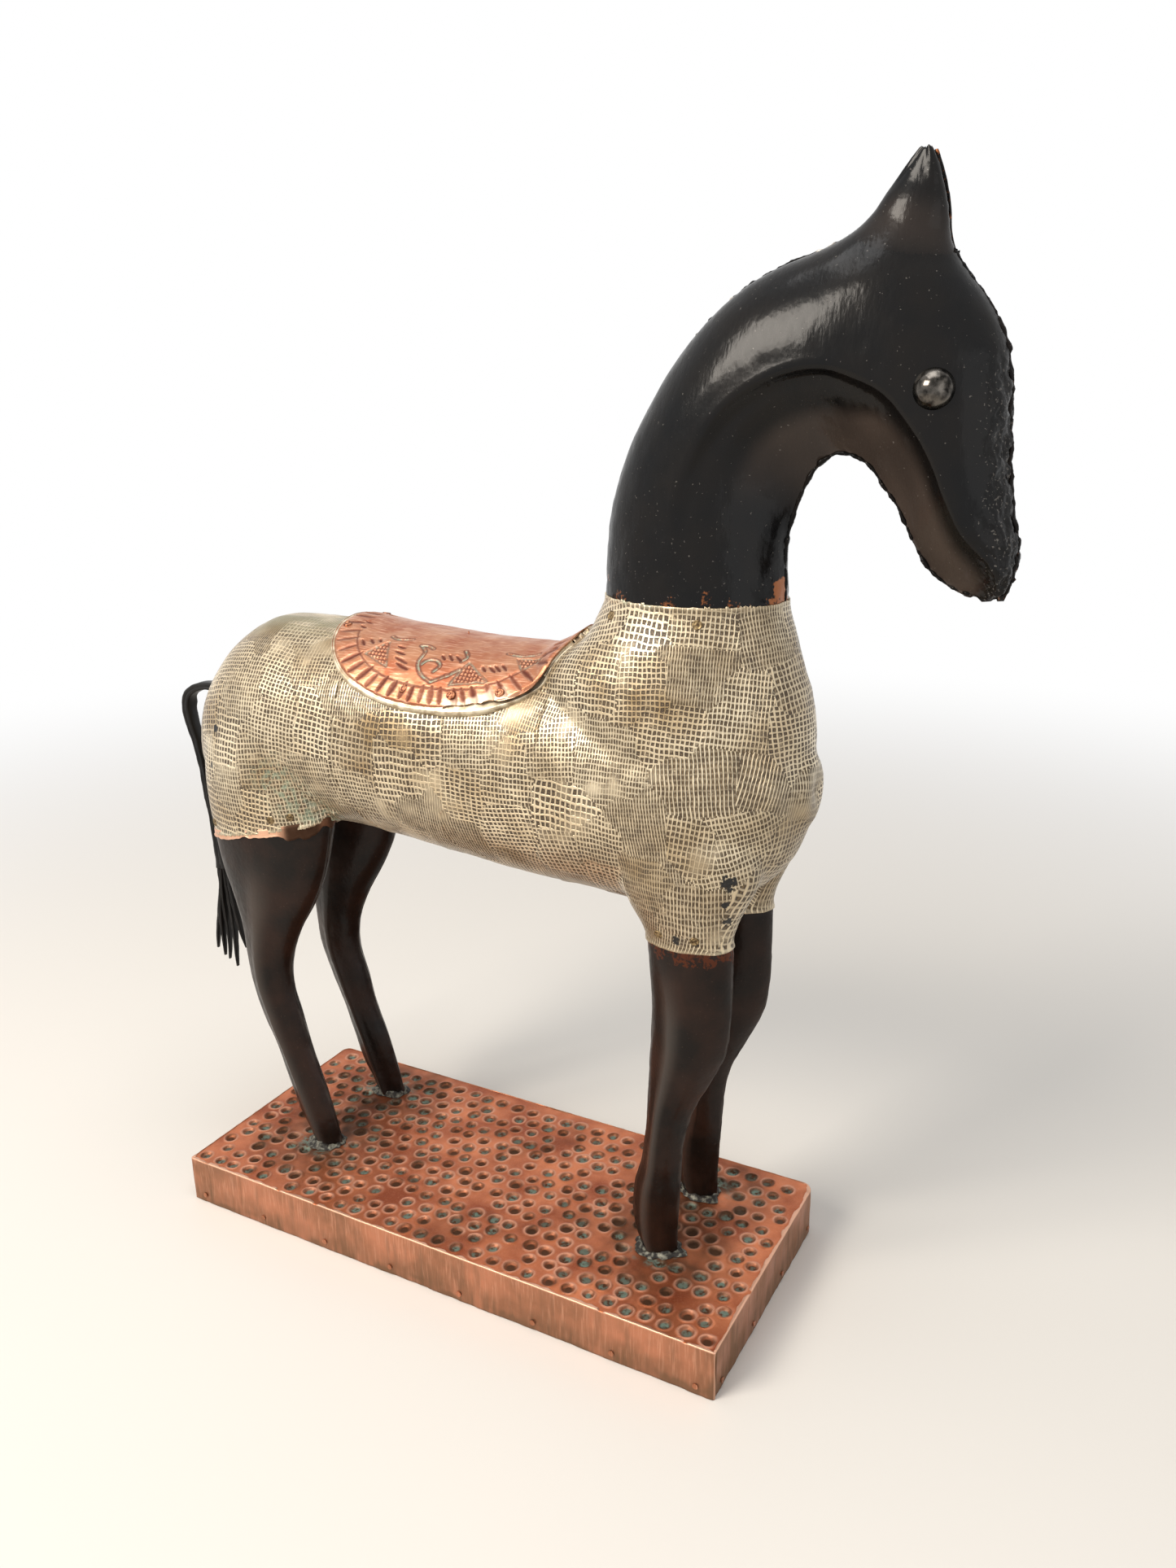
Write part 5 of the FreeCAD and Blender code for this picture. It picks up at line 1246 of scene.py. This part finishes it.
def makeFootWeld(leg, side, label):
    # solder run round the foot: a low lumpy collar, its rings from the outer toe in and up the leg
    foot = np.array(leg["shares"][:1])
    back, front, halfWidth = legLines(leg, side, foot)
    centre = (back[0] + front[0]) / 2
    halfDepth = (foot[0, 2] - foot[0, 1]) / 2 * leg["halfDepth"]
    count = 64
    angle = -np.linspace(0, 2 * math.pi, count, endpoint=False)
    around = np.stack([np.cos(angle), np.sin(angle)], axis=1)
    seed = int(260 + 5 * side + leg["x"] / 20)
    circle = np.c_[around * 12, np.zeros(count)]
    reach = np.maximum(legSheet["weldReach"] + 2.4 * layeredNoise(circle, 6.0, seed, 3), 1.2)
    tall = np.maximum(legSheet["weldHeight"] + 1.8 * layeredNoise(circle, 6.0, seed + 3, 3), 0.8)
    rings = []
    for share in np.linspace(0, 1, 12):
        out = reach * (1 - share) ** 1.15 - 0.7 * share
        ring = centre[:2] + around * np.stack([halfDepth + out, halfWidth[0] + out], axis=1)
        lumps = 0.5 * noiseAt(np.c_[ring, np.full(count, 9 * share)], 2.2, seed + 5) * math.sin(math.pi * share)
        high = tall * (1 - (1 - share) ** 1.6) + lumps
        rings.append(np.c_[ring, boardTop - 0.35 + np.maximum(high, 0)])
    weld = gridPiece("footWeld" + titled(label), np.array(rings))
    finishPiece(weld, solderMetal, "solder", "foot_weld_" + label)


def cuffLoop(leg, side, share, inset):
    # the leg's outline at one height, once round
    rows = easedRows(leg["shares"], 8)
    row = rows[[np.argmin(np.abs(rows[:, 0] - share))]]
    back, front, width = legLines(leg, side, row, inset)
    near, far = [halfSections(back, front, width, np.array([0.5]), row[:, 4], row[:, 4], half, 20)[0]
                 for half in (-1, 1)]
    return np.concatenate([near[:-1], far[::-1][:-1]])


def makePeg(leg, side, label):
    # the peg that holds the leg: its own outline, a sheet and a hair smaller
    rings = [cuffLoop(leg, side, share, legSheet["pegGap"]) for share in np.linspace(0.80, 1.0, 8)]
    rings.append(rings[-1] + np.array([0, 0, legSheet["pegRise"]]))
    peg = tubePiece("legPeg" + titled(label), np.array(rings))
    finishPiece(peg, pine, "board_wood", "leg_peg_" + label)


def makeCuffBand(leg, side, label):
    # bare copper of the leg's top, torn where the cladding ends over it
    loop = cuffLoop(leg, side, 1.0, 0.0)
    loop, run = [values[:-1] for values in evenly(np.concatenate([loop, loop[:1]]), 0.8)]
    ahead = np.roll(loop, -1, axis=0) - np.roll(loop, 1, axis=0)
    out = unit(np.stack([ahead[:, 1], -ahead[:, 0], 0 * run], axis=1))
    out *= np.sign(np.sum(out * (loop - loop.mean(axis=0)), axis=1).sum())
    seed = int(330 + 5 * side + leg["x"] / 20)
    ragged = 0.5 + 0.5 * layeredNoise(onLine(run), 9.0, seed, 3)
    toFront = smoothStep(18, 30, loop[:, 0] - leg["x"])
    tall = (0.3 + 2.3 * np.clip(ragged, 0, 1.2)) * (1 - toFront) + np.clip(5.5 + 6 * (ragged - 0.5), 1, 9) * toFront
    rings = []
    for share in np.linspace(-0.35, 1, 7):
        high = np.where(share < 0, 3.5 * share / -0.35, -tall * share)
        puff = 0.75 + 0.55 * (share > 0.9) * (1 - toFront) - 0.45 * toFront * max(share, 0)
        puff = puff + 0.12 * noiseAt(onLine(run, 6 * share), 2.5, seed + 4)
        rings.append(loop + out * puff[:, None] + onLine(0 * run, 0.0, high))
    rust = np.clip(toFront * (0.8 + 0.3 * ragged), 0, 0.97)
    marks = np.tile(onLine(rust, 0.0, 0.55 * (1 - toFront)), (len(rings), 1))
    band = sheetPiece("cuffBand" + titled(label), np.array(rings), legSheet["bandThickness"], marks, True)
    finishPiece(band, tornCopper, "base_copper")


for pair, leg in legs.items():
    for side, sideName in ((-1, "right"), (1, "left")):
        label = pair + "_" + sideName
        makePeg(leg, side, label)
        if pair == "hind":
            makeCuffBand(leg, side, label)
        makeLegHalf(leg, side, side, label + "_outer")
        makeLegHalf(leg, side, -side, label + "_inner")
        makeFootWeld(leg, side, label)
print("legs made")


# ---- tail
tail = {"rumpX": -229.0, "rootZ": 358.0, "reach": 40.0, "drop": 224.0, "width": 11.0, "thickness": 6.0, "folded": 0.94,
        # behind and down as shares of reach and drop, thickness as a share of the strap's
        "shares": [(-0.350, 0.004, 1.00), (0.050, 0.000, 1.00), (0.450, 0.004, 1.00), (0.760, 0.030, 1.05),
                   (0.870, 0.076, 1.15), (0.820, 0.143, 1.10), (0.700, 0.223, 1.00), (0.600, 0.312, 0.95),
                   (0.550, 0.400, 0.90), (0.510, 0.482, 0.95), (0.460, 0.570, 1.30), (0.425, 0.634, 1.65)],
        # top across the strap's end, tip behind and down
        "strands": [(0.40, 0.800, 0.946), (0.20, 0.690, 0.975), (0.00, 0.560, 0.984), (-0.20, 0.310, 1.000),
                    (-0.40, 0.060, 0.924)],
        # a strand's thickness and width, at shares of its length
        "thin": ([0, 0.15, 0.5, 1], [1.7, 2.6, 3.0, 1.5]), "wide": ([0, 0.5, 0.9, 1], [8.0, 6.6, 3.6, 2.2]),
        # a quarter of the strap's outline; each side has a groove in its middle
        "quarter": [(1.0, 0.0), (1.0, 0.55), (0.92, 0.86), (0.55, 1.0), (0.18, 0.97)], "groove": (0.0, 0.80)}


def tailPoint(behind, down):
    return np.array([tail["rumpX"] - behind * tail["reach"], middleY, tail["rootZ"] - down * tail["drop"]])


def strapRings(path, thickness, width, seed):
    # a folded strap: two layers, so a groove runs along each of its sides
    ahead = unit(np.gradient(path, axis=0))
    across = np.stack([-ahead[:, 2], 0 * ahead[:, 0], ahead[:, 0]], axis=1)
    outline = tail["quarter"] + [tail["groove"]] + [(-a, b) for a, b in tail["quarter"][::-1]]
    outline += [(a, -b) for a, b in outline[-2:0:-1]]
    rings = []
    for index, (a, b) in enumerate(outline):
        place = np.c_[path[:, 0], path[:, 2], np.full(len(path), 4.0 * index)]
        lump = 1 + 0.10 * layeredNoise(place, 7.0, seed, 3)
        flat = across * (a * thickness / 2 * lump)[:, None]
        rings.append(path + flat + np.array([[0.0, 1.0, 0.0]]) * (b * width / 2 * lump)[:, None])
    return np.stack(rings, axis=1)


def makeTail():
    rows = easedRows(tail["shares"], 6)
    path = np.array([tailPoint(behind, down) for behind, down, share in rows])
    thickness = rows[:, 2] * tail["thickness"] * tail["folded"]
    width = tail["width"] * (1 - 0.14 * np.sin(np.linspace(0, 9, len(rows))) ** 2)
    stem = tubePiece("tailStem", strapRings(path, thickness, width, 301))
    finishPiece(stem, tailPaint, "black_paint", "tail_stem")
    points = []
    faces = []
    behind, down, share = tail["shares"][-1]
    for number, (across, tipBehind, tipDown) in enumerate(tail["strands"]):
        top = tailPoint(behind, down - 0.02) - np.array([across * share * tail["thickness"], 0, 0])
        t = np.linspace(0, 1, 34)
        lane = top * (1 - t)[:, None] + tailPoint(tipBehind, tipDown) * t[:, None]
        lane[:, 0] += 1.6 * np.sin(t * math.pi) * (number - 2) * -0.5 + 0.7 * np.sin(t * 7 + number)
        lane[:, 1] += 1.2 * np.sin(t * 5 + 2 * number)
        rings = strapRings(lane, np.interp(t, *tail["thin"]), np.interp(t, *tail["wide"]), 311 + number)
        faces += cappedFaces(*rings.shape[:2], sum(len(part) for part in points))
        points.append(rings.reshape(-1, 3))
    strands = addMesh("tailStrands", np.concatenate(points), faces)
    finishPiece(strands, tailPaint, "black_paint", "tail_strands")


makeTail()
print("tail made")


# ---- saddle
saddle = {"axisZ": 343.0, "turnRadius": 68.0, "rearLength": 87.0, "frontLength": 89.0, "halfArc": 67.5,
          "rearPower": 2.3, "frontPower": 2.5, "rows": 140, "columns": 660, "padTop": 4.0, "sheet": 1.0,
          # strokes round the edge, the line inside them, and how deep all are chased
          "strokes": 54, "strokeStart": 0.815, "strokeEnd": 0.975, "strokeWidth": 2.9, "leafWidth": 1.9,
          "borderShare": 0.816, "grooveDepth": 0.9, "thrown": 0.15, "edgeDrop": 1.4, "hatch": 2.6,
          # where the ornament's own field lies on the plate
          "fieldLength": 88.0, "fieldArc": 0.787,
          # the tear in the edge: its direction and depth
          "tornAt": math.radians(302), "tornDepth": 4.6,
          # the pad's rim, a dull white bead round the plate, as out and up
          "padForm": [(-14.0, 1.0), (-14.0, 3.4), (-2.0, 3.8), (-0.2, 4.1), (0.9, 4.1), (1.8, 3.7), (2.4, 2.9),
                      (2.7, 1.9), (2.9, 0.8), (2.9, -0.6)], "padWave": 0.35, "padFrontDrop": 2.4}
# ornament: small leaf strokes, hatched triangles and scrolls, as places along and across the plate
leafStrokes = [((-0.68, 0.52), (-0.62, 0.60)), ((-0.62, 0.49), (-0.56, 0.56)), ((-0.55, 0.47), (-0.51, 0.53)),
               ((-0.36, 0.54), (-0.28, 0.56)), ((-0.35, 0.61), (-0.25, 0.64)), ((-0.32, 0.68), (-0.20, 0.73)),
               ((-0.29, 0.74), (-0.17, 0.79)), ((0.02, 0.57), (0.07, 0.63)), ((0.07, 0.55), (0.13, 0.62)),
               ((0.13, 0.55), (0.20, 0.62)), ((0.38, 0.65), (0.43, 0.71)), ((0.43, 0.64), (0.50, 0.70)),
               ((0.47, 0.62), (0.54, 0.69)), ((0.52, 0.60), (0.58, 0.67)), ((0.80, 0.42), (0.86, 0.47)),
               ((0.86, 0.36), (0.93, 0.40)), ((-0.80, 0.30), (-0.74, 0.33)), ((-0.80, 0.20), (-0.74, 0.21))]
hatchedTriangles = [((-0.45, 0.50), (-0.57, 0.69), (-0.35, 0.79)), ((0.26, 0.62), (0.19, 0.87), (0.47, 0.80)),
                    ((0.60, 0.49), (0.68, 0.64), (0.83, 0.45))]
scrollLines = [((-0.19, 0.48), (-0.12, 0.57), (-0.12, 0.70), (-0.06, 0.81), (0.04, 0.87)),
               ((-0.09, 0.72), (-0.05, 0.66), (0.02, 0.66), (0.06, 0.71), (0.03, 0.77)),
               ((-0.19, 0.48), (-0.14, 0.47), (-0.08, 0.50)), ((0.17, 0.46), (0.22, 0.55), (0.20, 0.62)),
               ((0.04, 0.87), (0.14, 0.80), (0.22, 0.72)), ((0.50, 0.42), (0.62, 0.44), (0.74, 0.36)),
               ((-0.30, 0.40), (-0.40, 0.44), (-0.47, 0.40))]


def saddleEdge(turn):
    # how far the plate's edge lies from its middle in each direction, in mm over the curved back
    ahead = np.cos(turn)
    across = np.abs(np.sin(turn))
    length = np.where(ahead > 0, saddle["frontLength"], saddle["rearLength"])
    blend = smoothStep(-0.3, 0.3, ahead)
    power = saddle["rearPower"] * (1 - blend) + saddle["frontPower"] * blend
    return 1 / ((np.abs(ahead) / length) ** power + (across / saddle["halfArc"]) ** power) ** (1 / power)


def plateDrop(flat):
    # the plate is drawn down along the spine
    aside = np.abs(flat[:, 1])
    drop = smoothStep(82, 45, np.abs(flat[:, 0])) + smoothStep(50, 80, flat[:, 0])
    return 0.8 * smoothStep(42, 14, aside) * drop


def onBack(reach, turn, tree):
    # drops places given by distance and direction from the saddle's middle on the trunk
    flat = np.stack([reach * np.cos(turn), reach * np.sin(turn)], axis=-1).reshape(-1, 2)
    out = np.zeros((len(flat), 3))
    for index, (along, angle) in enumerate(flat / [1, saddle["turnRadius"]]):
        start = Vector((saddleMiddle + along, middleY, saddle["axisZ"]))
        hit = tree.ray_cast(start, Vector((0, math.sin(angle), math.cos(angle))))
        out[index] = hit[0] if hit[0] is not None else start
    return flat, out.reshape(-1, len(turn), 3)


def smoothedGrid(grid, rounds):
    # rows run from the middle out, columns run round
    for turn in range(rounds):
        middle = (np.roll(grid, 1, axis=1) + np.roll(grid, -1, axis=1)) / 2
        inner = middle.copy()
        inner[1:-1] = (middle[1:-1] * 2 + grid[:-2] + grid[2:]) / 4
        grid = grid * 0.3 + inner * 0.7
    return grid


def outwardNormals(grid):
    normals = gridNormals(grid, True)
    away = grid - np.array([saddleMiddle, middleY, saddle["axisZ"]])
    return normals * np.sign(np.sum(normals * away, axis=2, keepdims=True))


def placeOnPlate(spot, side):
    # shares of the ornament's own field to mm along and round the back
    across = math.asin(min(saddle["fieldArc"] * spot[1], 1.0))
    return np.array([spot[0] * saddle["fieldLength"], side * saddle["turnRadius"] * across])


def lineShare(points, start, end):
    along = end - start
    t = np.clip(((points - start) @ along) / max(along @ along, 1e-9), 0, 1)
    return np.linalg.norm(points - start - t[:, None] * along, axis=1), t


def lensStroke(points, start, end, width):
    distance, t = lineShare(points, start, end)
    return ridge(distance, 0.7 * width * np.sqrt(np.clip(4 * t * (1 - t), 0.04, 1)))


def saddleGrooves(flat):
    # depth, green share and dark outline of the chased lines; flat holds mm along and round the back
    groove = np.zeros(len(flat))
    green = np.zeros(len(flat))
    outline = np.zeros(len(flat))
    rng = np.random.RandomState(seedNumber + 5)
    for index in range(saddle["strokes"]):
        turn = 2 * math.pi * (index + 0.5 + rng.uniform(-0.16, 0.16)) / saddle["strokes"]
        reach = float(saddleEdge(np.array(turn)))
        low = reach - (reach * (1 - saddle["strokeStart"]) + 1.0) * rng.uniform(0.92, 1.06)
        high = reach * saddle["strokeEnd"] - rng.uniform(0.0, 1.2)
        middle = np.array([math.cos(turn + rng.uniform(-0.02, 0.02)), math.sin(turn)])
        stroke = lensStroke(flat, middle * low, middle * high, saddle["strokeWidth"] * rng.uniform(0.8, 1.15))
        groove = np.maximum(groove, stroke * rng.uniform(0.75, 1.0))
    for side in (-1, 1):
        for start, end in leafStrokes:
            stroke = lensStroke(flat, placeOnPlate(start, side), placeOnPlate(end, side), saddle["leafWidth"])
            groove = np.maximum(groove, stroke)
        for path in scrollLines:
            spots = easedRows([placeOnPlate(spot, side) for spot in path], 5)
            for start, end in zip(spots[:-1], spots[1:]):
                distance = lineShare(flat, start, end)[0]
                line = ridge(distance, 0.8)
                groove = np.maximum(groove, line)
                green = np.maximum(green, line)
                outline = np.maximum(outline, ridge(distance - 1.3, 0.5))
        for corners in hatchedTriangles:
            a, b, c = [placeOnPlate(corner, side) for corner in corners]
            for start, end in ((a, b), (b, c), (c, a)):
                line = ridge(lineShare(flat, start, end)[0], 0.7)
                groove = np.maximum(groove, line)
                green = np.maximum(green, 0.6 * line)
            # shares of the way from one corner to the other two
            s, t = np.linalg.solve(np.stack([b - a, c - a], axis=1), (flat - a).T)
            inside = (s > 0) & (t > 0) & (s + t < 1)
            cells = np.ones(len(flat))
            for axis in (0, 1):
                wave = np.abs((flat[:, axis] / saddle["hatch"]) % 1.0 - 0.5) * 2
                cells = np.minimum(cells, smoothStep(0.75, 0.45, wave))
            groove = np.maximum(groove, inside * 0.85 * (1 - cells))
    return groove, green, outline * (1 - smoothStep(0.3, 0.7, green))


def makeSaddlePlate(turn, edge, tree):
    rows, columns = saddle["rows"], saddle["columns"]
    circle = onLine(np.cos(turn) * 60, np.sin(turn) * 60)
    wave = 0.45 * noiseAt(circle, 9.0, 401) + 0.25 * noiseAt(circle, 3.0, 402)
    torn = smoothStep(0.34, 0.24, np.abs(turn - saddle["tornAt"]))
    wave = wave - saddle["tornDepth"] * torn * (0.6 + 0.4 * noiseAt(onLine(turn * 60), 4.0, 404))
    share = 1 - (1 - np.linspace(0.004, 1, rows)) ** 1.12
    reach = share[:, None] * (edge + wave)
    flat, under = onBack(reach, turn, tree)
    under = smoothedGrid(under, 24)
    groove, green, outline = saddleGrooves(flat)
    edgeShare = (reach / edge).reshape(-1)
    border = ridge((edgeShare - saddle["borderShare"]) * edge.mean(), 0.75) * (np.abs(flat[:, 1]) > 20)
    groove = np.maximum(groove, 0.75 * border)
    space = np.c_[flat, np.zeros(len(flat))]
    height = saddle["padTop"] + saddle["sheet"] + 0.30 * layeredNoise(space, 22.0, 405, 3)
    height += 0.10 * layeredNoise(space, 4.0, 407, 2) - plateDrop(flat) - saddle["grooveDepth"] * groove
    # metal thrown up beside the strokes, the edge turned down
    height += saddle["thrown"] * smoothStep(0.02, 0.2, groove) * (1 - smoothStep(0.2, 0.6, groove))
    height -= saddle["edgeDrop"] * smoothStep(0.965, 1.0, edgeShare)
    plate = under + outwardNormals(under) * height.reshape(rows, columns, 1)
    tornMark = 0.6 * np.tile(torn, rows) * smoothStep(0.86, 0.93, edgeShare + 0.05 * noiseAt(space, 5.0, 409))
    greenTone = green * smoothStep(0.2, 0.6, groove) + 0.35 * smoothStep(0.97, 1.0, edgeShare)
    bright = tornMark + 0.12 * smoothStep(0.1, 0.3, groove) * (1 - smoothStep(0.3, 0.6, groove))
    dark = np.clip(groove * (1 - 0.7 * green) + 0.75 * outline, 0, 0.95)
    marks = np.stack([dark, np.clip(greenTone, 0, 1), np.clip(bright, 0, 1)], axis=1).reshape(rows, columns, 3)
    marks = marks[:, ::-1].reshape(-1, 3)
    piece = sheetPiece("saddlePlate", plate[:, ::-1], saddle["sheet"], marks, True, False)
    finishPiece(piece, saddleCopper, "saddle_copper", "saddle_plate")
    return plate.reshape(-1, 3), flat


def makeSaddlePad(turn, edge, tree):
    # drawn in and down where it meets the rise of the neck
    ahead = smoothStep(0.55, 0.85, np.cos(turn))
    frontDrop = saddle["padFrontDrop"] * smoothStep(0.5, 0.85, np.cos(turn))
    grounds = []
    heights = []
    for out, high in easedRows(saddle["padForm"], 3):
        circle = onLine(np.cos(turn) * 60, np.sin(turn) * 60, high)
        wobble = saddle["padWave"] * noiseAt(circle, 14.0, 411)
        reach = edge + (out + 1.6 * wobble) * (1 - 0.75 * ahead) * (out > 0) + out * (out <= 0)
        flat, ground = onBack(reach, turn, tree)
        grounds.append(ground[0])
        heights.append(high + 0.2 * wobble - frontDrop - plateDrop(flat))
    under = smoothedGrid(np.array(grounds), 6)
    pad = under + outwardNormals(under) * np.array(heights)[:, :, None]
    finishPiece(gridPiece("saddlePad", pad[:, ::-1]), rimMetal, "white_metal", "saddle_pad")


nails = {"sides": 20, "wave": 0.06,
         "ring": [(0.01, 0.75), (0.7, 0.72), (1.15, 0.45), (1.55, 0.42), (1.9, 0.85), (2.45, 0.92), (2.85, 0.6),
                  (2.95, 0.0), (2.9, -0.6)],
         "flat": [(0.01, 0.50), (0.9, 0.48), (1.3, 0.30), (1.9, 0.32), (2.25, 0.62), (2.6, 0.55), (2.75, 0.1),
                  (2.7, -0.6)],
         "saddleSpots": [(-0.90, 0.33), (-0.16, 0.95), (0.235, 0.95), (0.60, 0.88)],
         # at the collar as ahead, aside, up; at the cuffs as shares of the leg's half depth, and aside
         "collarSpots": [(104.2, 40, 440.0), (159.3, 40, 440.0)], "aboveCuff": 9.0,
         "cuffSpots": {"hind": ((-0.80, 0.35, 0.62), 62), "fore": ((-0.45, 0.40), 52)}}


def nailRow(name, spots, profile, material, slot, node):
    rings = [lathe(profile, nails["sides"], place, outward, nails["wave"], 420 + number)
             for number, (place, outward) in enumerate(spots)]
    size = len(profile) * nails["sides"]
    faces = [gridFaces(len(profile), nails["sides"], True, size * number, True) for number in range(len(spots))]
    finishPiece(addMesh(name, np.array(rings), np.concatenate(faces)), material, slot, node)


def makeNails(plate, flat):
    spots = []
    for side in (-1, 1):
        for spot in nails["saddleSpots"]:
            place = plate[np.argmin(np.linalg.norm(flat - placeOnPlate(spot, side), axis=1))]
            outward = place - np.array([place[0], middleY, saddle["axisZ"]])
            spots.append((place - 0.1 * unit(outward), outward))
    nailRow("saddleNails", spots, nails["ring"], copperNail, "saddle_nail_copper", "saddle_nails")
    wanted = list(nails["collarSpots"])
    for pair, (shares, aside) in nails["cuffSpots"].items():
        leg = legs[pair]
        tilt = math.radians(leg["tilt"])
        for share in shares:
            reach = share * leg["halfDepth"]
            z = leg["cuffZ"] + reach * math.sin(tilt) + nails["aboveCuff"]
            wanted.append((leg["x"] + reach * math.cos(tilt), aside, z))
    spots = []
    for side in (-1, 1):
        for x, y, z in wanted:
            hit = trunkTree.ray_cast(Vector((x, middleY + side * 120, z)), Vector((0, -side, 0)))
            spots.append((np.array(hit[0]), np.array(hit[1]) * (1 if hit[1][1] * side > 0 else -1)))
    nailRow("claddingNails", spots, nails["flat"], nailSteel, "steel", "cladding_nails")


around = np.linspace(0, 2 * math.pi, saddle["columns"], endpoint=False)
plateEdge = saddleEdge(around)
platePoints, plateFlat = makeSaddlePlate(around, plateEdge, smoothTree)
makeSaddlePad(around, plateEdge, smoothTree)
makeNails(platePoints, plateFlat)
print("saddle made")


# ---- pieces that show little: plain materials on the frame's own meshes
plainNodes = {"base_screws": nailSteel, "base_band_tacks": bandCopper, "neck_peg": pine}
for pair in legs:
    for sideName in ("right", "left"):
        plainNodes["foot_plug_%s_%s" % (pair, sideName)] = pine
for name, material in plainNodes.items():
    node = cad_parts[name]
    node.data.materials.clear()
    node.data.materials.append(material)


# ---- camera, light and floor
camera = {"place": (0.4159, -0.6207, 0.5600), "towards": (-0.45511, 0.83600, -0.30657), "rollDegrees": -0.653,
          "lens": 28.217, "sensor": 36.0}
# place and target in m, width and height in m, watts, tint
lamps = {"windowKey": ((-0.95, -1.7, 1.75), (0, 0, 0.36), 1.15, 0.95, 55, "#FFF6EA"),
         "ceilingSoft": ((0.1, -0.2, 2.0), (0, 0, 0.3), 1.4, 1.0, 15, "#FFFFFF"),
         "rightFill": ((1.7, -0.9, 0.7), (0.05, 0, 0.35), 1.3, 1.3, 2.5, "#FFFFFF")}
stage = {"halfSize": 4000.0, "floor": "#E6E2DC", "fadeStart": 0.45, "fadeEnd": 1.9, "skyLight": 0.36}


def makeCamera():
    data = bpy.data.cameras.new("photoCamera")
    data.sensor_fit = "VERTICAL"
    data.sensor_height = camera["sensor"]
    data.lens = camera["lens"]
    data.clip_start = 0.01
    eye = bpy.data.objects.new("photoCamera", data)
    towards = Vector(camera["towards"]).normalized()
    right = towards.cross(Vector((0, 0, 1))).normalized()
    turn = Matrix((right, right.cross(towards), -towards)).transposed().to_4x4()
    roll = Matrix.Rotation(math.radians(camera["rollDegrees"]), 4, "Z")
    eye.matrix_world = Matrix.Translation(Vector(camera["place"])) @ turn @ roll
    bpy.context.scene.collection.objects.link(eye)
    bpy.context.scene.camera = eye


def makeLamps():
    for name, (place, target, width, height, watts, tint) in lamps.items():
        data = bpy.data.lights.new(name, "AREA")
        data.shape = "RECTANGLE"
        data.size = width
        data.size_y = height
        data.energy = watts
        data.color = hexColour(tint)[:3]
        lamp = bpy.data.objects.new(name, data)
        lamp.location = place
        lamp.rotation_euler = (Vector(target) - Vector(place)).to_track_quat("-Z", "Y").to_euler()
        bpy.context.scene.collection.objects.link(lamp)


def makeFloor():
    half = stage["halfSize"]
    points = [(x, y, 0) for x in (-half, half) for y in (-half, half)]
    floor = addMesh("floor", points, [[0, 2, 3, 1]])
    material, tree, place, split, fields = startMaterial(
        "palePlaster", Roughness=0.6, Base_Color=hexColour(stage["floor"]))
    # the floor fades into the white background far from the object
    far = addNode(tree, "VectorMath", [place], operation="LENGTH")["Value"]
    far = addNode(tree, "MapRange", [far, stage["fadeStart"], stage["fadeEnd"]], interpolation_type="SMOOTHSTEP")[0]
    rays = addNode(tree, "LightPath", [])
    seen = addNode(tree, "Math", [rays["Is Camera Ray"], rays["Is Glossy Ray"]], operation="MAXIMUM")[0]
    fade = addNode(tree, "Math", [far, seen], operation="MULTIPLY")[0]
    white = addNode(tree, "Emission", {"Strength": 1.0})[0]
    mix = addNode(tree, "MixShader", [fade, tree.nodes["Principled BSDF"].outputs[0], white])[0]
    tree.links.new(mix, tree.nodes["Material Output"].inputs["Surface"])
    floor.data.materials.append(material)


def makeSky():
    # white where it is seen, dimmer as a light
    world = bpy.data.worlds.new("studio")
    bpy.context.scene.world = world
    world.use_nodes = True
    tree = world.node_tree
    back = tree.nodes["Background"]
    back.inputs["Color"].default_value = (1.0, 1.0, 1.0, 1.0)
    rays = addNode(tree, "LightPath", [])
    seen = addNode(tree, "Math", [rays["Is Camera Ray"], rays["Is Transmission Ray"]], operation="MAXIMUM")[0]
    seen = addNode(tree, "Math", [seen, rays["Is Glossy Ray"]], operation="MAXIMUM")[0]
    strength = addNode(tree, "MapRange", {"Value": seen, "To Min": stage["skyLight"], "To Max": 1.0})[0]
    tree.links.new(strength, back.inputs["Strength"])


makeCamera()
makeFloor()
makeSky()
makeLamps()
bpy.context.scene.view_settings.view_transform = "Standard"
print("camera, light and floor made")
